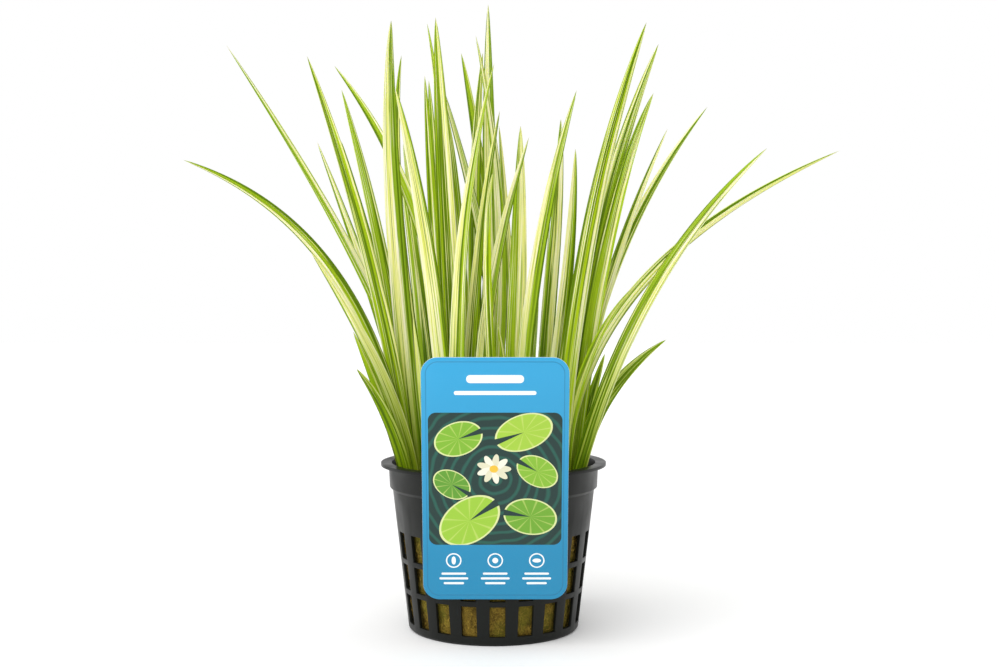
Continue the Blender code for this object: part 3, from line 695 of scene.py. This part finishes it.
class SWEETFLAG_OT_fibres(bpy.types.Operator):
    """Lay the coir fibres and the moss on the growing medium"""
    bl_idname = "sweetflag.fibres"
    bl_label = "Coir fibres and moss"

    def execute(self, context):
        looks = context.scene.sweetflag_medium
        coir = strand_material("dry coir fibre", tuple(looks.fibre), linear("#4C3A10"), 1.6 * MM)
        pattern = straight_strand(sides=3, joints=4)
        rng = random.Random(11)
        in_slots = slot_fibres(rng, FIBRES_IN_SLOTS, looks.fibre_width)
        settle(lay_strands("coir_fibres_in_slots", pattern, in_slots, coir), "medium")
        on_top = top_fibres(rng, FIBRES_ON_TOP, looks.fibre_width * 1.3)
        settle(lay_strands("coir_fibres_on_top", pattern, on_top, coir), "medium")
        green = strand_material("living moss", tuple(looks.moss), linear("#2F3D0C"), 1.2 * MM)
        frond = straight_strand(sides=3, joints=2)
        tufts = moss_fronds(rng, MOSS_TUFTS, FRONDS_PER_TUFT, FROND_RADIUS)
        settle(lay_strands("moss_tufts", frond, tufts, green), "medium")
        return {"FINISHED"}


def leaf_tissue(looks):
    """Living leaf: a waxy satin skin over cream or green tissue, lined by its parallel veins, and greened and
    darkened towards the foot with painted shade.
    """
    material, tree, shader = new_material("variegated leaf tissue", IOR=1.42, Specular_IOR_Level=0.12,
                                          Subsurface_Weight=0.3, Subsurface_Scale=1.2 * MM,
                                          Subsurface_Radius=(0.8, 1.0, 0.2))
    across, along, vein, cream_from, cream_to, tone, margin, seed = [
        add_node(tree, "Attribute", output="Fac", attribute_name=name) for name in BLADE_NOTES]
    height = add_node(tree, "SeparateXYZ", {0: add_node(tree, "TexCoord", output="Object")}, 2)
    slowly = add_node(tree, "Math", {0: along, 1: 1.3}, operation="MULTIPLY")
    quickly = add_node(tree, "Math", {0: along, 1: 8.0}, operation="MULTIPLY")
    line_place = add_node(tree, "CombineXYZ", {0: vein, 1: slowly, 2: seed})
    wander_place = add_node(tree, "CombineXYZ", {0: cream_from, 1: quickly, 2: seed})
    wander = add_node(tree, "TexNoise", {"Vector": wander_place, "Scale": 1.0, "Detail": 2.0}, "Fac")
    shift = add_node(tree, "MapRange", {"Value": wander, "To Min": -0.12, "To Max": 0.12})
    place = add_node(tree, "Math", {0: across, 1: shift}, operation="ADD")

    # Cream between its two limits, and thin lines of the other colour along the blade
    past_start = add_node(tree, "Math", {0: place, 1: cream_from}, operation="SUBTRACT")
    before_end = add_node(tree, "Math", {0: cream_to, 1: place}, operation="SUBTRACT")
    within = add_node(tree, "Math", {0: past_start, 1: before_end}, operation="MINIMUM")
    narrowing = add_node(tree, "MapRange", {"Value": along, "From Min": 0.05, "From Max": 0.36,
                                            "To Min": 0.36, "To Max": 0.04})
    nearest = add_node(tree, "Math", {0: within, 1: narrowing}, operation="SUBTRACT")
    creamy = add_node(tree, "MapRange", {"Value": nearest, "From Min": -0.04, "From Max": 0.04})
    lines = add_node(tree, "TexNoise", {"Vector": line_place, "Scale": 2.1, "Detail": 1.0}, "Fac")
    drawn = add_node(tree, "MapRange", {"Value": lines, "From Min": 0.58, "From Max": 0.64, "To Max": 0.85})
    crossed = add_node(tree, "Math", {0: creamy, 1: drawn}, operation="SUBTRACT")
    pale = add_node(tree, "Math", {0: crossed}, operation="ABSOLUTE")

    # Greens run from deep to bright in broad streaks, and creams from yellow to white; painted shade turns
    # the creams yellow-green towards the foot
    broad = add_node(tree, "TexNoise", {"Vector": line_place, "Scale": 0.7, "Detail": 1.0}, "Fac")
    streaky = add_node(tree, "MapRange", {"Value": broad, "From Min": 0.42, "From Max": 0.56})
    green = add_node(tree, "Mix", {0: tone, 6: tuple(looks.yellow_green), 7: tuple(looks.blue_green)}, 2,
                     data_type="RGBA")
    greens = add_node(tree, "Mix", {0: streaky, 6: tuple(looks.deep_green), 7: green}, 2, data_type="RGBA")
    creams = add_node(tree, "Mix", {0: streaky, 6: linear("#F5F1AE"), 7: tuple(looks.cream)}, 2,
                      data_type="RGBA")
    # Painted shade: creams are mixed towards yellow-green low on the blade, inside the clump
    cream_shade_share = add_node(tree, "MapRange", {"Value": height, "From Min": FOOT_SHADE_FULL_Z,
                                            "From Max": CREAM_SHADE_END_Z, "To Min": 0.8, "To Max": 0.0})
    creams_in_painted_shade = add_node(tree, "Mix", {0: cream_shade_share, 6: creams, 7: linear("#B2C838")}, 2, data_type="RGBA")
    halves = add_node(tree, "Mix", {0: pale, 6: greens, 7: creams_in_painted_shade}, 2, data_type="RGBA")
    veins = add_node(tree, "TexNoise", {"Vector": line_place, "Scale": 4.5, "Detail": 1.0}, "Fac")
    off_vein = add_node(tree, "MapRange", {"Value": veins, "From Min": 0.35, "From Max": 0.6})
    vein_tint = add_node(tree, "Mix", {0: off_vein, 6: linear("#DCE586"), 7: (1.0, 1.0, 1.0)}, 2,
                         data_type="RGBA")
    veined = add_node(tree, "Mix", {0: 1.0, 6: halves, 7: vein_tint}, 2, data_type="RGBA",
                      blend_type="MULTIPLY")

    # Margins that are dark, pale or plain, painted shade that darkens the foot to olive, and a dry tip
    edge = add_node(tree, "Math", {0: across}, operation="ABSOLUTE")
    at_edge = add_node(tree, "MapRange", {"Value": edge, "From Min": 0.78, "From Max": 0.93, "To Max": 0.85})
    darkened = add_node(tree, "Math", {0: at_edge, 1: margin}, operation="MULTIPLY", use_clamp=True)
    other_way = add_node(tree, "Math", {0: margin, 1: -1.0}, operation="MULTIPLY")
    paled = add_node(tree, "Math", {0: at_edge, 1: other_way}, operation="MULTIPLY", use_clamp=True)
    edged = add_node(tree, "Mix", {0: darkened, 6: veined, 7: linear("#4A620C")}, 2, data_type="RGBA")
    bordered = add_node(tree, "Mix", {0: paled, 6: edged, 7: linear("#EDF0B4")}, 2, data_type="RGBA")
    # Painted shade: the blade's colour is multiplied by olive towards the foot, inside the clump
    foot = add_node(tree, "MapRange", {"Value": height, "From Min": FOOT_SHADE_FULL_Z,
                                       "From Max": FOOT_SHADE_END_Z, "To Min": 1.0, "To Max": 0.0})
    foot_in_painted_shade = add_node(tree, "Mix", {0: foot, 6: bordered, 7: linear("#C2D03C")}, 2, data_type="RGBA",
                      blend_type="MULTIPLY")
    dry = add_node(tree, "MapRange", {"Value": along, "From Min": 0.985, "From Max": 1.0,
                                      "To Min": 0.0, "To Max": 0.7})
    tipped = add_node(tree, "Mix", {0: dry, 6: foot_in_painted_shade, 7: linear("#8A8347")}, 2, data_type="RGBA")

    bump = add_node(tree, "Bump", {"Height": veins, "Strength": 0.5, "Distance": 0.06 * MM}, "Normal")
    waxy = add_node(tree, "MapRange", {"Value": broad, "From Min": 0.4, "From Max": 0.6,
                                       "To Min": 0.42, "To Max": 0.55})
    tree.links.new(tipped, shader.inputs["Base Color"])
    tree.links.new(waxy, shader.inputs["Roughness"])
    tree.links.new(bump, shader.inputs["Normal"])
    return material


def blade_section():
    """Points round a blade's cross-section, as (across, rise): a lens with a raised midrib on either face."""
    stops = (-1.0, -0.86, -0.6, -0.34, -0.14, 0.0, 0.14, 0.34, 0.6, 0.86, 1.0)
    rises = []
    for stop in stops:
        lens = 0.30 + 0.34 * (1.0 - abs(stop) ** 2.2)
        rib = 0.36 * math.exp(-(stop / 0.17) ** 2)
        rises.append(0.0 if abs(stop) == 1.0 else lens + rib)
    front = list(zip(stops, rises))
    back = [(stop, -rise) for stop, rise in reversed(front[1:-1])]
    return front + back


def straight_blade():
    """A flat pattern blade: x is its share of the length, y and z are its cross-section's across and rise."""
    section = blade_section()
    deselect_all()
    bpy.ops.mesh.primitive_grid_add(x_subdivisions=BLADE_STATIONS, y_subdivisions=len(section), size=1.0,
                                    calc_uvs=True)
    blade = named("blade_pattern")
    for vert in blade.data.vertices:
        share = vert.co.x + 0.5
        across, rise = section[round((vert.co.y + 0.5) * len(section)) % len(section)]
        if share > 1.0 - 0.5 / BLADE_STATIONS:
            across, rise = 0.0, 0.0
        vert.co = (share, across, rise)
    with edit_mode(blade) as shape:
        bpy.ops.mesh.select_all(action="SELECT")
        bpy.ops.mesh.remove_doubles(threshold=1e-4)
        shape = bmesh.from_edit_mesh(blade.data)
        pick(blade, shape, "EDGE", lambda edge: edge.is_boundary)
        bpy.ops.mesh.edge_face_add()
    return blade


def leaf_route(leaf):
    """The foot, the curve's control point and the tip of a leaf that passes through its middle."""
    middle_y = leaf.foot_y + DEPTH_SHARE_AT_MIDDLE * (leaf.tip_y - leaf.foot_y)
    foot = Vector((leaf.foot_x * MM, leaf.foot_y * MM, LEAF_BASE_Z))
    middle = Vector((leaf.middle_x, middle_y, leaf.middle_z)) * MM
    tip = Vector((leaf.tip_x, leaf.tip_y, leaf.tip_z)) * MM
    return foot, 2 * middle - (foot + tip) / 2, tip


def width_share(share):
    """The blade's width at a share of its length: a sheath at its foot and a long taper to its tip."""
    sheath = 0.22 * max(0.0, 1.0 - share / 0.16) ** 2
    if share < LEAF_WIDEST_AT:
        return 0.84 + 0.16 * math.sin(math.pi / 2 * share / LEAF_WIDEST_AT) + sheath
    beyond = (share - LEAF_WIDEST_AT) / (1.0 - LEAF_WIDEST_AT)
    return max(0.0, 1.0 - beyond ** LEAF_TAPER_POWER) ** LEAF_TAPER_EASE


def blade_frame(leaf, heading_deg, share):
    """The centre of the blade at a share of its length and its directions across and out of its face."""
    foot, control, tip = leaf_route(leaf)
    rest = 1.0 - share
    centre = rest * rest * foot + 2 * rest * share * control + share * share * tip
    direction = (rest * (control - foot) + share * (tip - control)).normalized()
    heading = math.radians(heading_deg + leaf.twist * share)
    along_fan = Vector((math.cos(heading), math.sin(heading), 0.0))
    across = (along_fan - along_fan.dot(direction) * direction).normalized()
    return centre, across, direction.cross(across)


def lay_blade(blade, leaf, heading_deg, thickness, rng):
    """Lays a copy of the pattern blade along its leaf's route and notes where its stripe is."""
    cup = rng.uniform(-0.16, 0.16)
    wave = rng.uniform(0.10, 0.28) * MM
    phase = rng.uniform(0.0, math.tau)
    seed = rng.uniform(0.0, 90.0)
    frames = {}
    notes = {name: [] for name in BLADE_NOTES}
    for vert in blade.vertices:
        share, across, rise = vert.co
        key = round(share * BLADE_STATIONS)
        if key not in frames:
            frames[key] = blade_frame(leaf, heading_deg, share)
        centre, side, out = frames[key]
        taper = width_share(share)
        half_width = leaf.width * MM / 2 * taper
        half_thick = thickness / 2 * (0.35 + 0.65 * min(taper, 1.0) + 0.5 * max(0.0, 1.0 - share / 0.2) ** 2)
        if share >= 1.0:
            half_thick = 0.0
        dished = cup * half_width * (across * across - 0.3) * min(1.0, share * 5)
        sway = wave * math.sin(phase + 11.0 * share) * math.sin(math.pi * min(share, 1.0))
        vert.co = centre + side * (across * half_width) + out * (rise * half_thick + dished + sway)
        shift = leaf.drift * share
        margin = leaf.left_margin if across < 0.0 else leaf.right_margin
        values = (across, share, across * leaf.width / 2, leaf.cream_from + shift, leaf.cream_to + shift,
                  leaf.tone, margin, seed)
        for name, value in zip(notes, values):
            notes[name].append(value)
    for name, values in notes.items():
        blade.attributes.new(name, "FLOAT", "POINT").data.foreach_set("value", values)


class SWEETFLAG_OT_leaves(bpy.types.Operator):
    """Lay every leaf blade along its route"""
    bl_idname = "sweetflag.leaves"
    bl_label = "Leaf blades"

    def execute(self, context):
        looks = context.scene.sweetflag_leaves
        tissue = leaf_tissue(looks)
        pattern = straight_blade()
        rng = random.Random(5)
        for crown, (heading, leaves) in CROWNS.items():
            for number, leaf in enumerate(leaves, start=1):
                name = f"{crown}_{number}"
                mesh = pattern.data.copy()
                mesh.name = "blade_" + name
                lay_blade(mesh, leaf, heading, looks.thickness, rng)
                blade = bpy.data.objects.new("blade_" + name, mesh)
                context.scene.collection.objects.link(blade)
                mesh.materials.append(tissue)
                make_active(blade)
                bpy.ops.object.shade_smooth_by_angle(angle=math.radians(60))
                settle(blade, "leaf", "leaf_" + name)
        bpy.data.objects.remove(pattern)
        return {"FINISHED"}


def box_distance(tree, place, centre, half, corner):
    """How far a point of the card lies outside a box with round corners, in millimetres."""
    moved = add_node(tree, "VectorMath", {0: place, 1: (*centre, 0.0)}, operation="SUBTRACT")
    folded = add_node(tree, "VectorMath", {0: moved}, operation="ABSOLUTE")
    inner = (half[0] - corner, half[1] - corner, 0.0)
    beyond = add_node(tree, "VectorMath", {0: folded, 1: inner}, operation="SUBTRACT")
    outside = add_node(tree, "VectorMath", {0: beyond, 1: (0.0, 0.0, 0.0)}, operation="MAXIMUM")
    reach = add_node(tree, "VectorMath", {0: outside}, "Value", operation="LENGTH")
    return add_node(tree, "Math", {0: reach, 1: corner}, operation="SUBTRACT")


def disc_place(tree, place, centre, radii, turn_deg=0.0):
    """A point's place on a turned ellipse, on which the ellipse's edge is 1 from its middle."""
    return add_node(tree, "Mapping", {"Vector": place, "Location": (*centre, 0.0),
                                      "Rotation": (0.0, 0.0, math.radians(turn_deg)),
                                      "Scale": (*radii, 1.0)}, vector_type="TEXTURE")


def paint(tree, below, where, limit, colour):
    """Paints a colour over the one below, where a value is under its limit."""
    inside = add_node(tree, "Math", {0: where, 1: limit}, operation="LESS_THAN")
    return add_node(tree, "Mix", {0: inside, 6: below, 7: colour}, 2, data_type="RGBA")


def paint_disc(tree, below, place, centre, radii, turn_deg, colour):
    spot = disc_place(tree, place, centre, radii, turn_deg)
    reach = add_node(tree, "VectorMath", {0: spot}, "Value", operation="LENGTH")
    return paint(tree, below, reach, 1.0, colour)


def paint_box(tree, below, place, centre, half, corner, colour):
    return paint(tree, below, box_distance(tree, place, centre, half, corner), 0.0, colour)


def paint_pad(tree, below, place, centre, radii, turn_deg, leaf_green):
    """A floating lily pad: a pale rim, a green face with radial veins and a notch."""
    rim, lobe, notch = linear("#DDE5A0"), leaf_green, linear("#0C322D")
    spot = disc_place(tree, place, centre, radii, turn_deg)
    reach = add_node(tree, "VectorMath", {0: spot}, "Value", operation="LENGTH")
    split = tree.nodes.new("ShaderNodeSeparateXYZ")
    tree.links.new(spot, split.inputs[0])
    angle = add_node(tree, "Math", {0: split.outputs[1], 1: split.outputs[0]}, operation="ARCTAN2")
    spokes = add_node(tree, "Math", {0: angle, 1: 11.0}, operation="MULTIPLY")
    ray = add_node(tree, "Math", {0: spokes}, operation="COSINE")
    veined = add_node(tree, "MapRange", {"Value": ray, "From Min": 0.8, "From Max": 1.0,
                                         "To Min": 0.0, "To Max": 0.45})
    face = add_node(tree, "Mix", {0: veined, 6: lobe, 7: linear("#D5E27C")}, 2, data_type="RGBA")
    rimmed = paint(tree, below, reach, 1.0, rim)
    filled = paint(tree, rimmed, reach, 0.93, face)
    narrow = add_node(tree, "Math", {0: angle}, operation="ABSOLUTE")
    outer = add_node(tree, "Math", {0: reach, 1: 1.0}, operation="LESS_THAN")
    wedge = add_node(tree, "Math", {0: narrow, 1: 0.17}, operation="LESS_THAN")
    notched = add_node(tree, "Math", {0: outer, 1: wedge}, operation="MULTIPLY")
    return add_node(tree, "Mix", {0: notched, 6: filled, 7: notch}, 2, data_type="RGBA")


PADS = (
    ((-13.5, 16.0), (9.2, 6.4), 20.0, "#7FB52A"),
    ((10.5, 18.5), (11.0, 6.8), 200.0, "#A4CC3C"),
    ((-16.0, -1.5), (7.4, 5.2), 330.0, "#5E9A28"),
    ((15.5, 3.5), (8.2, 5.6), 150.0, "#86BA2E"),
    ((-9.5, -15.5), (12.5, 8.4), 35.0, "#9CC936"),
    ((13.0, -14.0), (10.0, 7.0), 170.0, "#6FA828"),
)
BLOSSOM_CENTRE = (-0.5, 4.5)
BLOSSOM_PETALS = 9
BLOSSOM_REACH = 3.4
PETAL_RADII = (3.0, 1.25)
PANEL = ((0.0, 0.5), (24.6, 25.5), 3.0)
TITLE_BARS = (((0.0, 38.6), (10.5, 1.5), 1.4), ((0.0, 33.4), (15.0, 0.75), 0.7))
SIGNS = ((-15.5, (0.8, 1.6)), (0.0, (1.1, 1.1)), (15.5, (1.6, 0.8)))
SIGN_Y = -31.2
SIGN_RADIUS = 2.9
SIGN_INNER_RADIUS = 2.4
NOTE_HALF_WIDTHS = (4.6, 5.4, 3.8)
NOTE_TOP_Y = -36.4
NOTE_STEP = 1.9


def printed_card(colour):
    """Offset-printed polypropylene card: flat bright inks under a satin film, a ground darkened towards its
    foot with painted shade, and a pressed line whose groove is darkened with painted shade.
    """
    material, tree, shader = new_material("printed polypropylene card", IOR=1.49, Roughness=0.33)
    flat = add_node(tree, "UVMap", uv_map="card")
    width, length = CARD_WIDTH / MM, CARD_LENGTH / MM
    place = add_node(tree, "Mapping", {"Vector": flat, "Location": (-width / 2, -length / 2, 0),
                                       "Scale": (width, length, 1.0)})
    white, deep, teal = linear("#F6FAFA"), linear("#0C322D"), linear("#17594B")
    # Painted shade: the blue ground darkens from the top of the card towards its foot
    height = add_node(tree, "SeparateXYZ", {0: place}, 1)
    down = add_node(tree, "MapRange", {"Value": height, "From Min": 40.0, "From Max": -30.0})
    ground = add_node(tree, "Mix", {0: down, 6: linear("#2FA3D6"), 7: tuple(colour)}, 2,
                      data_type="RGBA")

    # Pond panel: dark water with rings, then the pads and a blossom
    ripple = add_node(tree, "TexWave", {"Vector": place, "Scale": 0.085, "Distortion": 2.6, "Detail": 1.0},
                      "Fac", wave_type="RINGS", rings_direction="Z")
    crest = add_node(tree, "MapRange", {"Value": ripple, "From Min": 0.6, "From Max": 1.0})
    water = add_node(tree, "Mix", {0: crest, 6: deep, 7: teal}, 2, data_type="RGBA")
    picture = water
    for centre, radii, turn, leaf_green in PADS:
        picture = paint_pad(tree, picture, place, centre, radii, turn, linear(leaf_green))
    for petal in range(BLOSSOM_PETALS):
        turn = 360.0 * petal / BLOSSOM_PETALS
        centre = (BLOSSOM_CENTRE[0] + BLOSSOM_REACH * math.cos(math.radians(turn)),
                  BLOSSOM_CENTRE[1] + 0.8 * BLOSSOM_REACH * math.sin(math.radians(turn)))
        shade = linear("#F4F0DC" if petal % 2 else "#E3DFC0")
        picture = paint_disc(tree, picture, place, centre, PETAL_RADII, turn, shade)
    picture = paint_disc(tree, picture, place, BLOSSOM_CENTRE, (1.6, 1.4), 0.0, linear("#EFC23A"))
    panel = box_distance(tree, place, *PANEL)
    framed = add_node(tree, "Math", {0: panel, 1: 0.0}, operation="LESS_THAN")
    sheet = add_node(tree, "Mix", {0: framed, 6: ground, 7: picture}, 2, data_type="RGBA")

    # Plain bars above, and rings and bars below
    for centre, half, corner in TITLE_BARS:
        sheet = paint_box(tree, sheet, place, centre, half, corner, white)
    for centre_x, core in SIGNS:
        ring, inner = (SIGN_RADIUS, SIGN_RADIUS), (SIGN_INNER_RADIUS, SIGN_INNER_RADIUS)
        for radii, ink in ((ring, white), (inner, tuple(colour)), (core, white)):
            sheet = paint_disc(tree, sheet, place, (centre_x, SIGN_Y), radii, 0.0, ink)
        for row, half_width in enumerate(NOTE_HALF_WIDTHS):
            bar = (centre_x, NOTE_TOP_Y - NOTE_STEP * row)
            sheet = paint_box(tree, sheet, place, bar, (half_width, 0.42), 0.4, white)

    # Pressed line round the card: a real groove by bump, its colour darkened with painted shade
    outline = box_distance(tree, place, (0.0, 0.0), (width / 2 - 1.7, length / 2 - 1.7), 4.5)
    off_line = add_node(tree, "Math", {0: outline}, operation="ABSOLUTE")
    pressed = add_node(tree, "MapRange", {"Value": off_line, "From Min": 0.08, "From Max": 0.26,
                                          "To Min": 1.0, "To Max": 0.0})
    # Painted shade in the groove: the colour darkens towards deep blue along the line
    sheet = add_node(tree, "Mix", {0: add_node(tree, "Math", {0: pressed, 1: 0.55}, operation="MULTIPLY"),
                                   6: sheet, 7: linear("#1A6F96")}, 2, data_type="RGBA")
    sink = add_node(tree, "Math", {0: 1.0, 1: pressed}, operation="SUBTRACT")
    bump = add_node(tree, "Bump", {"Height": sink, "Strength": 0.6, "Distance": 0.08 * MM}, "Normal")
    tree.links.new(sheet, shader.inputs["Base Color"])
    tree.links.new(bump, shader.inputs["Normal"])
    return material


def bare_card():
    """The card's own white polypropylene, on its back, its edges and its tongue."""
    material, tree, shader = new_material("white polypropylene sheet", IOR=1.49)
    place = add_node(tree, "TexCoord", output="Object")
    cloudy = add_node(tree, "TexNoise", {"Vector": place, "Scale": 1 / (9.0 * MM), "Detail": 2.0}, "Fac")
    shade = add_node(tree, "Mix", {0: cloudy, 6: linear("#DDE4E6"), 7: linear("#EEF2F3")}, 2,
                     data_type="RGBA")
    satin = add_node(tree, "MapRange", {"Value": cloudy, "To Min": 0.35, "To Max": 0.5})
    tree.links.new(shade, shader.inputs["Base Color"])
    tree.links.new(satin, shader.inputs["Roughness"])
    return material


class SWEETFLAG_OT_label(bpy.types.Operator):
    """Build the label card and its tongue"""
    bl_idname = "sweetflag.label"
    bl_label = "Label card"

    def execute(self, context):
        sizes = context.scene.sweetflag_label
        card = self.flat_card(sizes)
        lean = math.radians(CARD_LEAN_DEG)
        middle_z = CARD_BOTTOM_Z + CARD_LENGTH / 2 * math.cos(lean)
        back_y = -RIM_RADIUS - CARD_GAP
        rim_z = POT_HEIGHT - CARD_GAP
        middle_y = back_y - sizes.thickness / 2 - (middle_z - rim_z) * math.tan(lean)
        card.location = (CARD_X, middle_y, middle_z)
        card.rotation_euler = (math.radians(90) + lean, 0.0, 0.0)
        make_active(card)
        bpy.ops.object.transform_apply(location=True, rotation=True, scale=True)
        tongue = self.tongue(back_y - (TONGUE_TOP_Z - rim_z) * math.tan(lean), sizes.thickness)
        tongue.select_set(True)
        card.select_set(True)
        bpy.context.view_layer.objects.active = card
        bpy.ops.object.join()
        bpy.ops.object.shade_smooth_by_angle(angle=math.radians(40))
        settle(card, "label_card", "plant_label")
        return {"FINISHED"}

    @staticmethod
    def flat_card(sizes):
        """The card lying flat and face up, with its print laid out over its front."""
        deselect_all()
        bpy.ops.mesh.primitive_plane_add(size=1.0, scale=(1.0, 1.0, 1.0))
        card = named("label_card")
        card.scale = (CARD_WIDTH, CARD_LENGTH, 1.0)
        bpy.ops.object.transform_apply(scale=True)
        with edit_mode(card):
            bpy.ops.mesh.select_all(action="SELECT")
            bpy.ops.mesh.bevel(offset=sizes.corner, affect="VERTICES", segments=12)
        apply_modifier(card, "SOLIDIFY", thickness=sizes.thickness, offset=0.0)
        apply_modifier(card, "BEVEL", width=0.12 * MM, segments=2, limit_method="ANGLE",
                       angle_limit=math.radians(50))
        card.data.materials.append(printed_card(sizes.colour))
        card.data.materials.append(bare_card())
        layout = card.data.uv_layers.new(name="card")
        for face in card.data.polygons:
            face.material_index = 0 if face.normal.z > 0.6 else 1
            for corner in face.loop_indices:
                point = card.data.vertices[card.data.loops[corner].vertex_index].co
                layout.data[corner].uv = (point.x / CARD_WIDTH + 0.5, point.y / CARD_LENGTH + 0.5)
        return card

    @staticmethod
    def tongue(card_y, thickness):
        """A strip from the card's back over the rim and down inside the collar, as one folded sheet."""
        bend = 0.6 * MM
        route = [Vector((0.0, card_y, TONGUE_TOP_Z)),
                 Vector((0.0, TONGUE_INNER_Y - bend, TONGUE_TOP_Z)),
                 Vector((0.0, TONGUE_INNER_Y - 0.3 * bend, TONGUE_TOP_Z - 0.3 * bend)),
                 Vector((0.0, TONGUE_INNER_Y, TONGUE_TOP_Z - bend)),
                 Vector((0.0, TONGUE_INNER_Y, TONGUE_END_Z))]
        deselect_all()
        bpy.ops.mesh.primitive_plane_add(size=1.0)
        strip = named("label_tongue")
        first = (route[0] + route[1]) / 2
        strip.scale = (TONGUE_WIDTH, (route[1] - route[0]).length, 1.0)
        strip.location = (CARD_X, first.y, first.z)
        bpy.ops.object.transform_apply(location=True, scale=True)
        far_edge = route[1].y
        with edit_mode(strip) as shape:
            pick(strip, shape, "EDGE", lambda edge: all(abs(v.co.y - far_edge) < 1e-6 for v in edge.verts))
            for here, there in zip(route[1:], route[2:]):
                bpy.ops.mesh.extrude_region_move(TRANSFORM_OT_translate={"value": tuple(there - here)})
            bpy.ops.mesh.select_all(action="SELECT")
            bpy.ops.mesh.normals_make_consistent(inside=False)
        apply_modifier(strip, "SOLIDIFY", thickness=thickness, offset=0.0)
        apply_modifier(strip, "BEVEL", width=0.1 * MM, segments=2, limit_method="ANGLE",
                       angle_limit=math.radians(50))
        strip.data.materials.append(bare_card())
        return strip


class SWEETFLAG_OT_stage(bpy.types.Operator):
    """Lay the floor, light it softly and set the camera"""
    bl_idname = "sweetflag.stage"
    bl_label = "Stage"

    def execute(self, context):
        looks = context.scene.sweetflag_stage
        deselect_all()
        bpy.ops.mesh.primitive_plane_add(size=FLOOR_SIZE)
        floor = named("studio_floor")
        paper, _, _ = new_material("matt white paper", Base_Color=(*looks.floor, 1.0), Roughness=0.9,
                                   Specular_IOR_Level=0.1, Emission_Color=(1.0, 1.0, 1.0, 1.0),
                                   Emission_Strength=0.04)
        floor.data.materials.append(paper)
        context.scene.world = self.studio_world(looks.room_light)
        self.key_light(looks.key_light)
        self.camera()
        context.scene.view_settings.view_transform = "Standard"
        return {"FINISHED"}

    @staticmethod
    def studio_world(room_light):
        """A white room that the camera sees as plain white, dimmer in front of the plant than behind it."""
        world = bpy.data.worlds.new("white studio")
        world.use_nodes = True
        tree = world.node_tree
        background = tree.nodes["Background"]
        background.inputs["Color"].default_value = (1.0, 1.0, 1.0, 1.0)
        towards = add_node(tree, "TexCoord", output="Generated")
        split = tree.nodes.new("ShaderNodeSeparateXYZ")
        tree.links.new(towards, split.inputs[0])
        room = add_node(tree, "MapRange", {"Value": split.outputs[1], "From Min": -1.0, "From Max": 1.0,
                                           "To Min": 0.7 * room_light, "To Max": 1.3 * room_light})
        seen = add_node(tree, "LightPath", output="Is Camera Ray")
        strength = add_node(tree, "Mix", {0: seen, 2: room, 3: 1.0})
        tree.links.new(strength, background.inputs["Strength"])
        return world

    @staticmethod
    def key_light(strength):
        """One broad soft light from the upper left of the camera."""
        bpy.ops.object.light_add(type="SUN", location=KEY_LIGHT_FROM)
        light = bpy.context.object
        light.name = "soft key light"
        light.data.energy = strength
        light.data.angle = math.radians(KEY_LIGHT_SPREAD_DEG)
        light.rotation_euler = Vector(KEY_LIGHT_FROM).to_track_quat("Z", "Y").to_euler()

    @staticmethod
    def camera():
        bpy.ops.object.camera_add(location=CAMERA_PLACE,
                                  rotation=(math.radians(90) - CAMERA_DOWN, 0.0, 0.0))
        camera = bpy.context.object
        camera.name = "photo camera"
        camera.data.lens = CAMERA_LENS
        camera.data.sensor_width = CAMERA_SENSOR
        camera.data.dof.use_dof = False
        bpy.context.scene.camera = camera


class SWEETFLAG_PT_panel(bpy.types.Panel):
    """Sizes, colours and build steps of the potted sweet flag"""
    bl_idname = "SWEETFLAG_PT_panel"
    bl_label = "Potted sweet flag"
    bl_space_type = "VIEW_3D"
    bl_region_type = "UI"
    bl_category = "Sweet flag"

    def draw(self, context):
        for group, steps in STEPS:
            box = self.layout.box()
            settings = getattr(context.scene, group)
            for name in settings.bl_rna.properties.keys():
                if name not in ("rna_type", "name"):
                    box.prop(settings, name)
            for step in steps:
                box.operator(step.bl_idname)


GROUPS = {
    "sweetflag_pot": PotProperties,
    "sweetflag_medium": MediumProperties,
    "sweetflag_leaves": LeafProperties,
    "sweetflag_label": LabelProperties,
    "sweetflag_stage": StageProperties,
}
STEPS = (
    ("sweetflag_pot", (SWEETFLAG_OT_pot,)),
    ("sweetflag_medium", (SWEETFLAG_OT_medium, SWEETFLAG_OT_fibres)),
    ("sweetflag_leaves", (SWEETFLAG_OT_leaves,)),
    ("sweetflag_label", (SWEETFLAG_OT_label,)),
    ("sweetflag_stage", (SWEETFLAG_OT_stage,)),
)
CLASSES = (*GROUPS.values(), *(step for _, steps in STEPS for step in steps), SWEETFLAG_PT_panel)


def register():
    for item in CLASSES:
        bpy.utils.register_class(item)
    for name, group in GROUPS.items():
        setattr(bpy.types.Scene, name, bpy.props.PointerProperty(type=group))


def unregister():
    for name in GROUPS:
        delattr(bpy.types.Scene, name)
    for item in reversed(CLASSES):
        bpy.utils.unregister_class(item)


def main():
    register()
    bpy.ops.sweetflag.stage()
    bpy.ops.sweetflag.pot()
    bpy.ops.sweetflag.medium()
    bpy.ops.sweetflag.fibres()
    bpy.ops.sweetflag.leaves()
    bpy.ops.sweetflag.label()


if __name__ == "__main__":
    main()
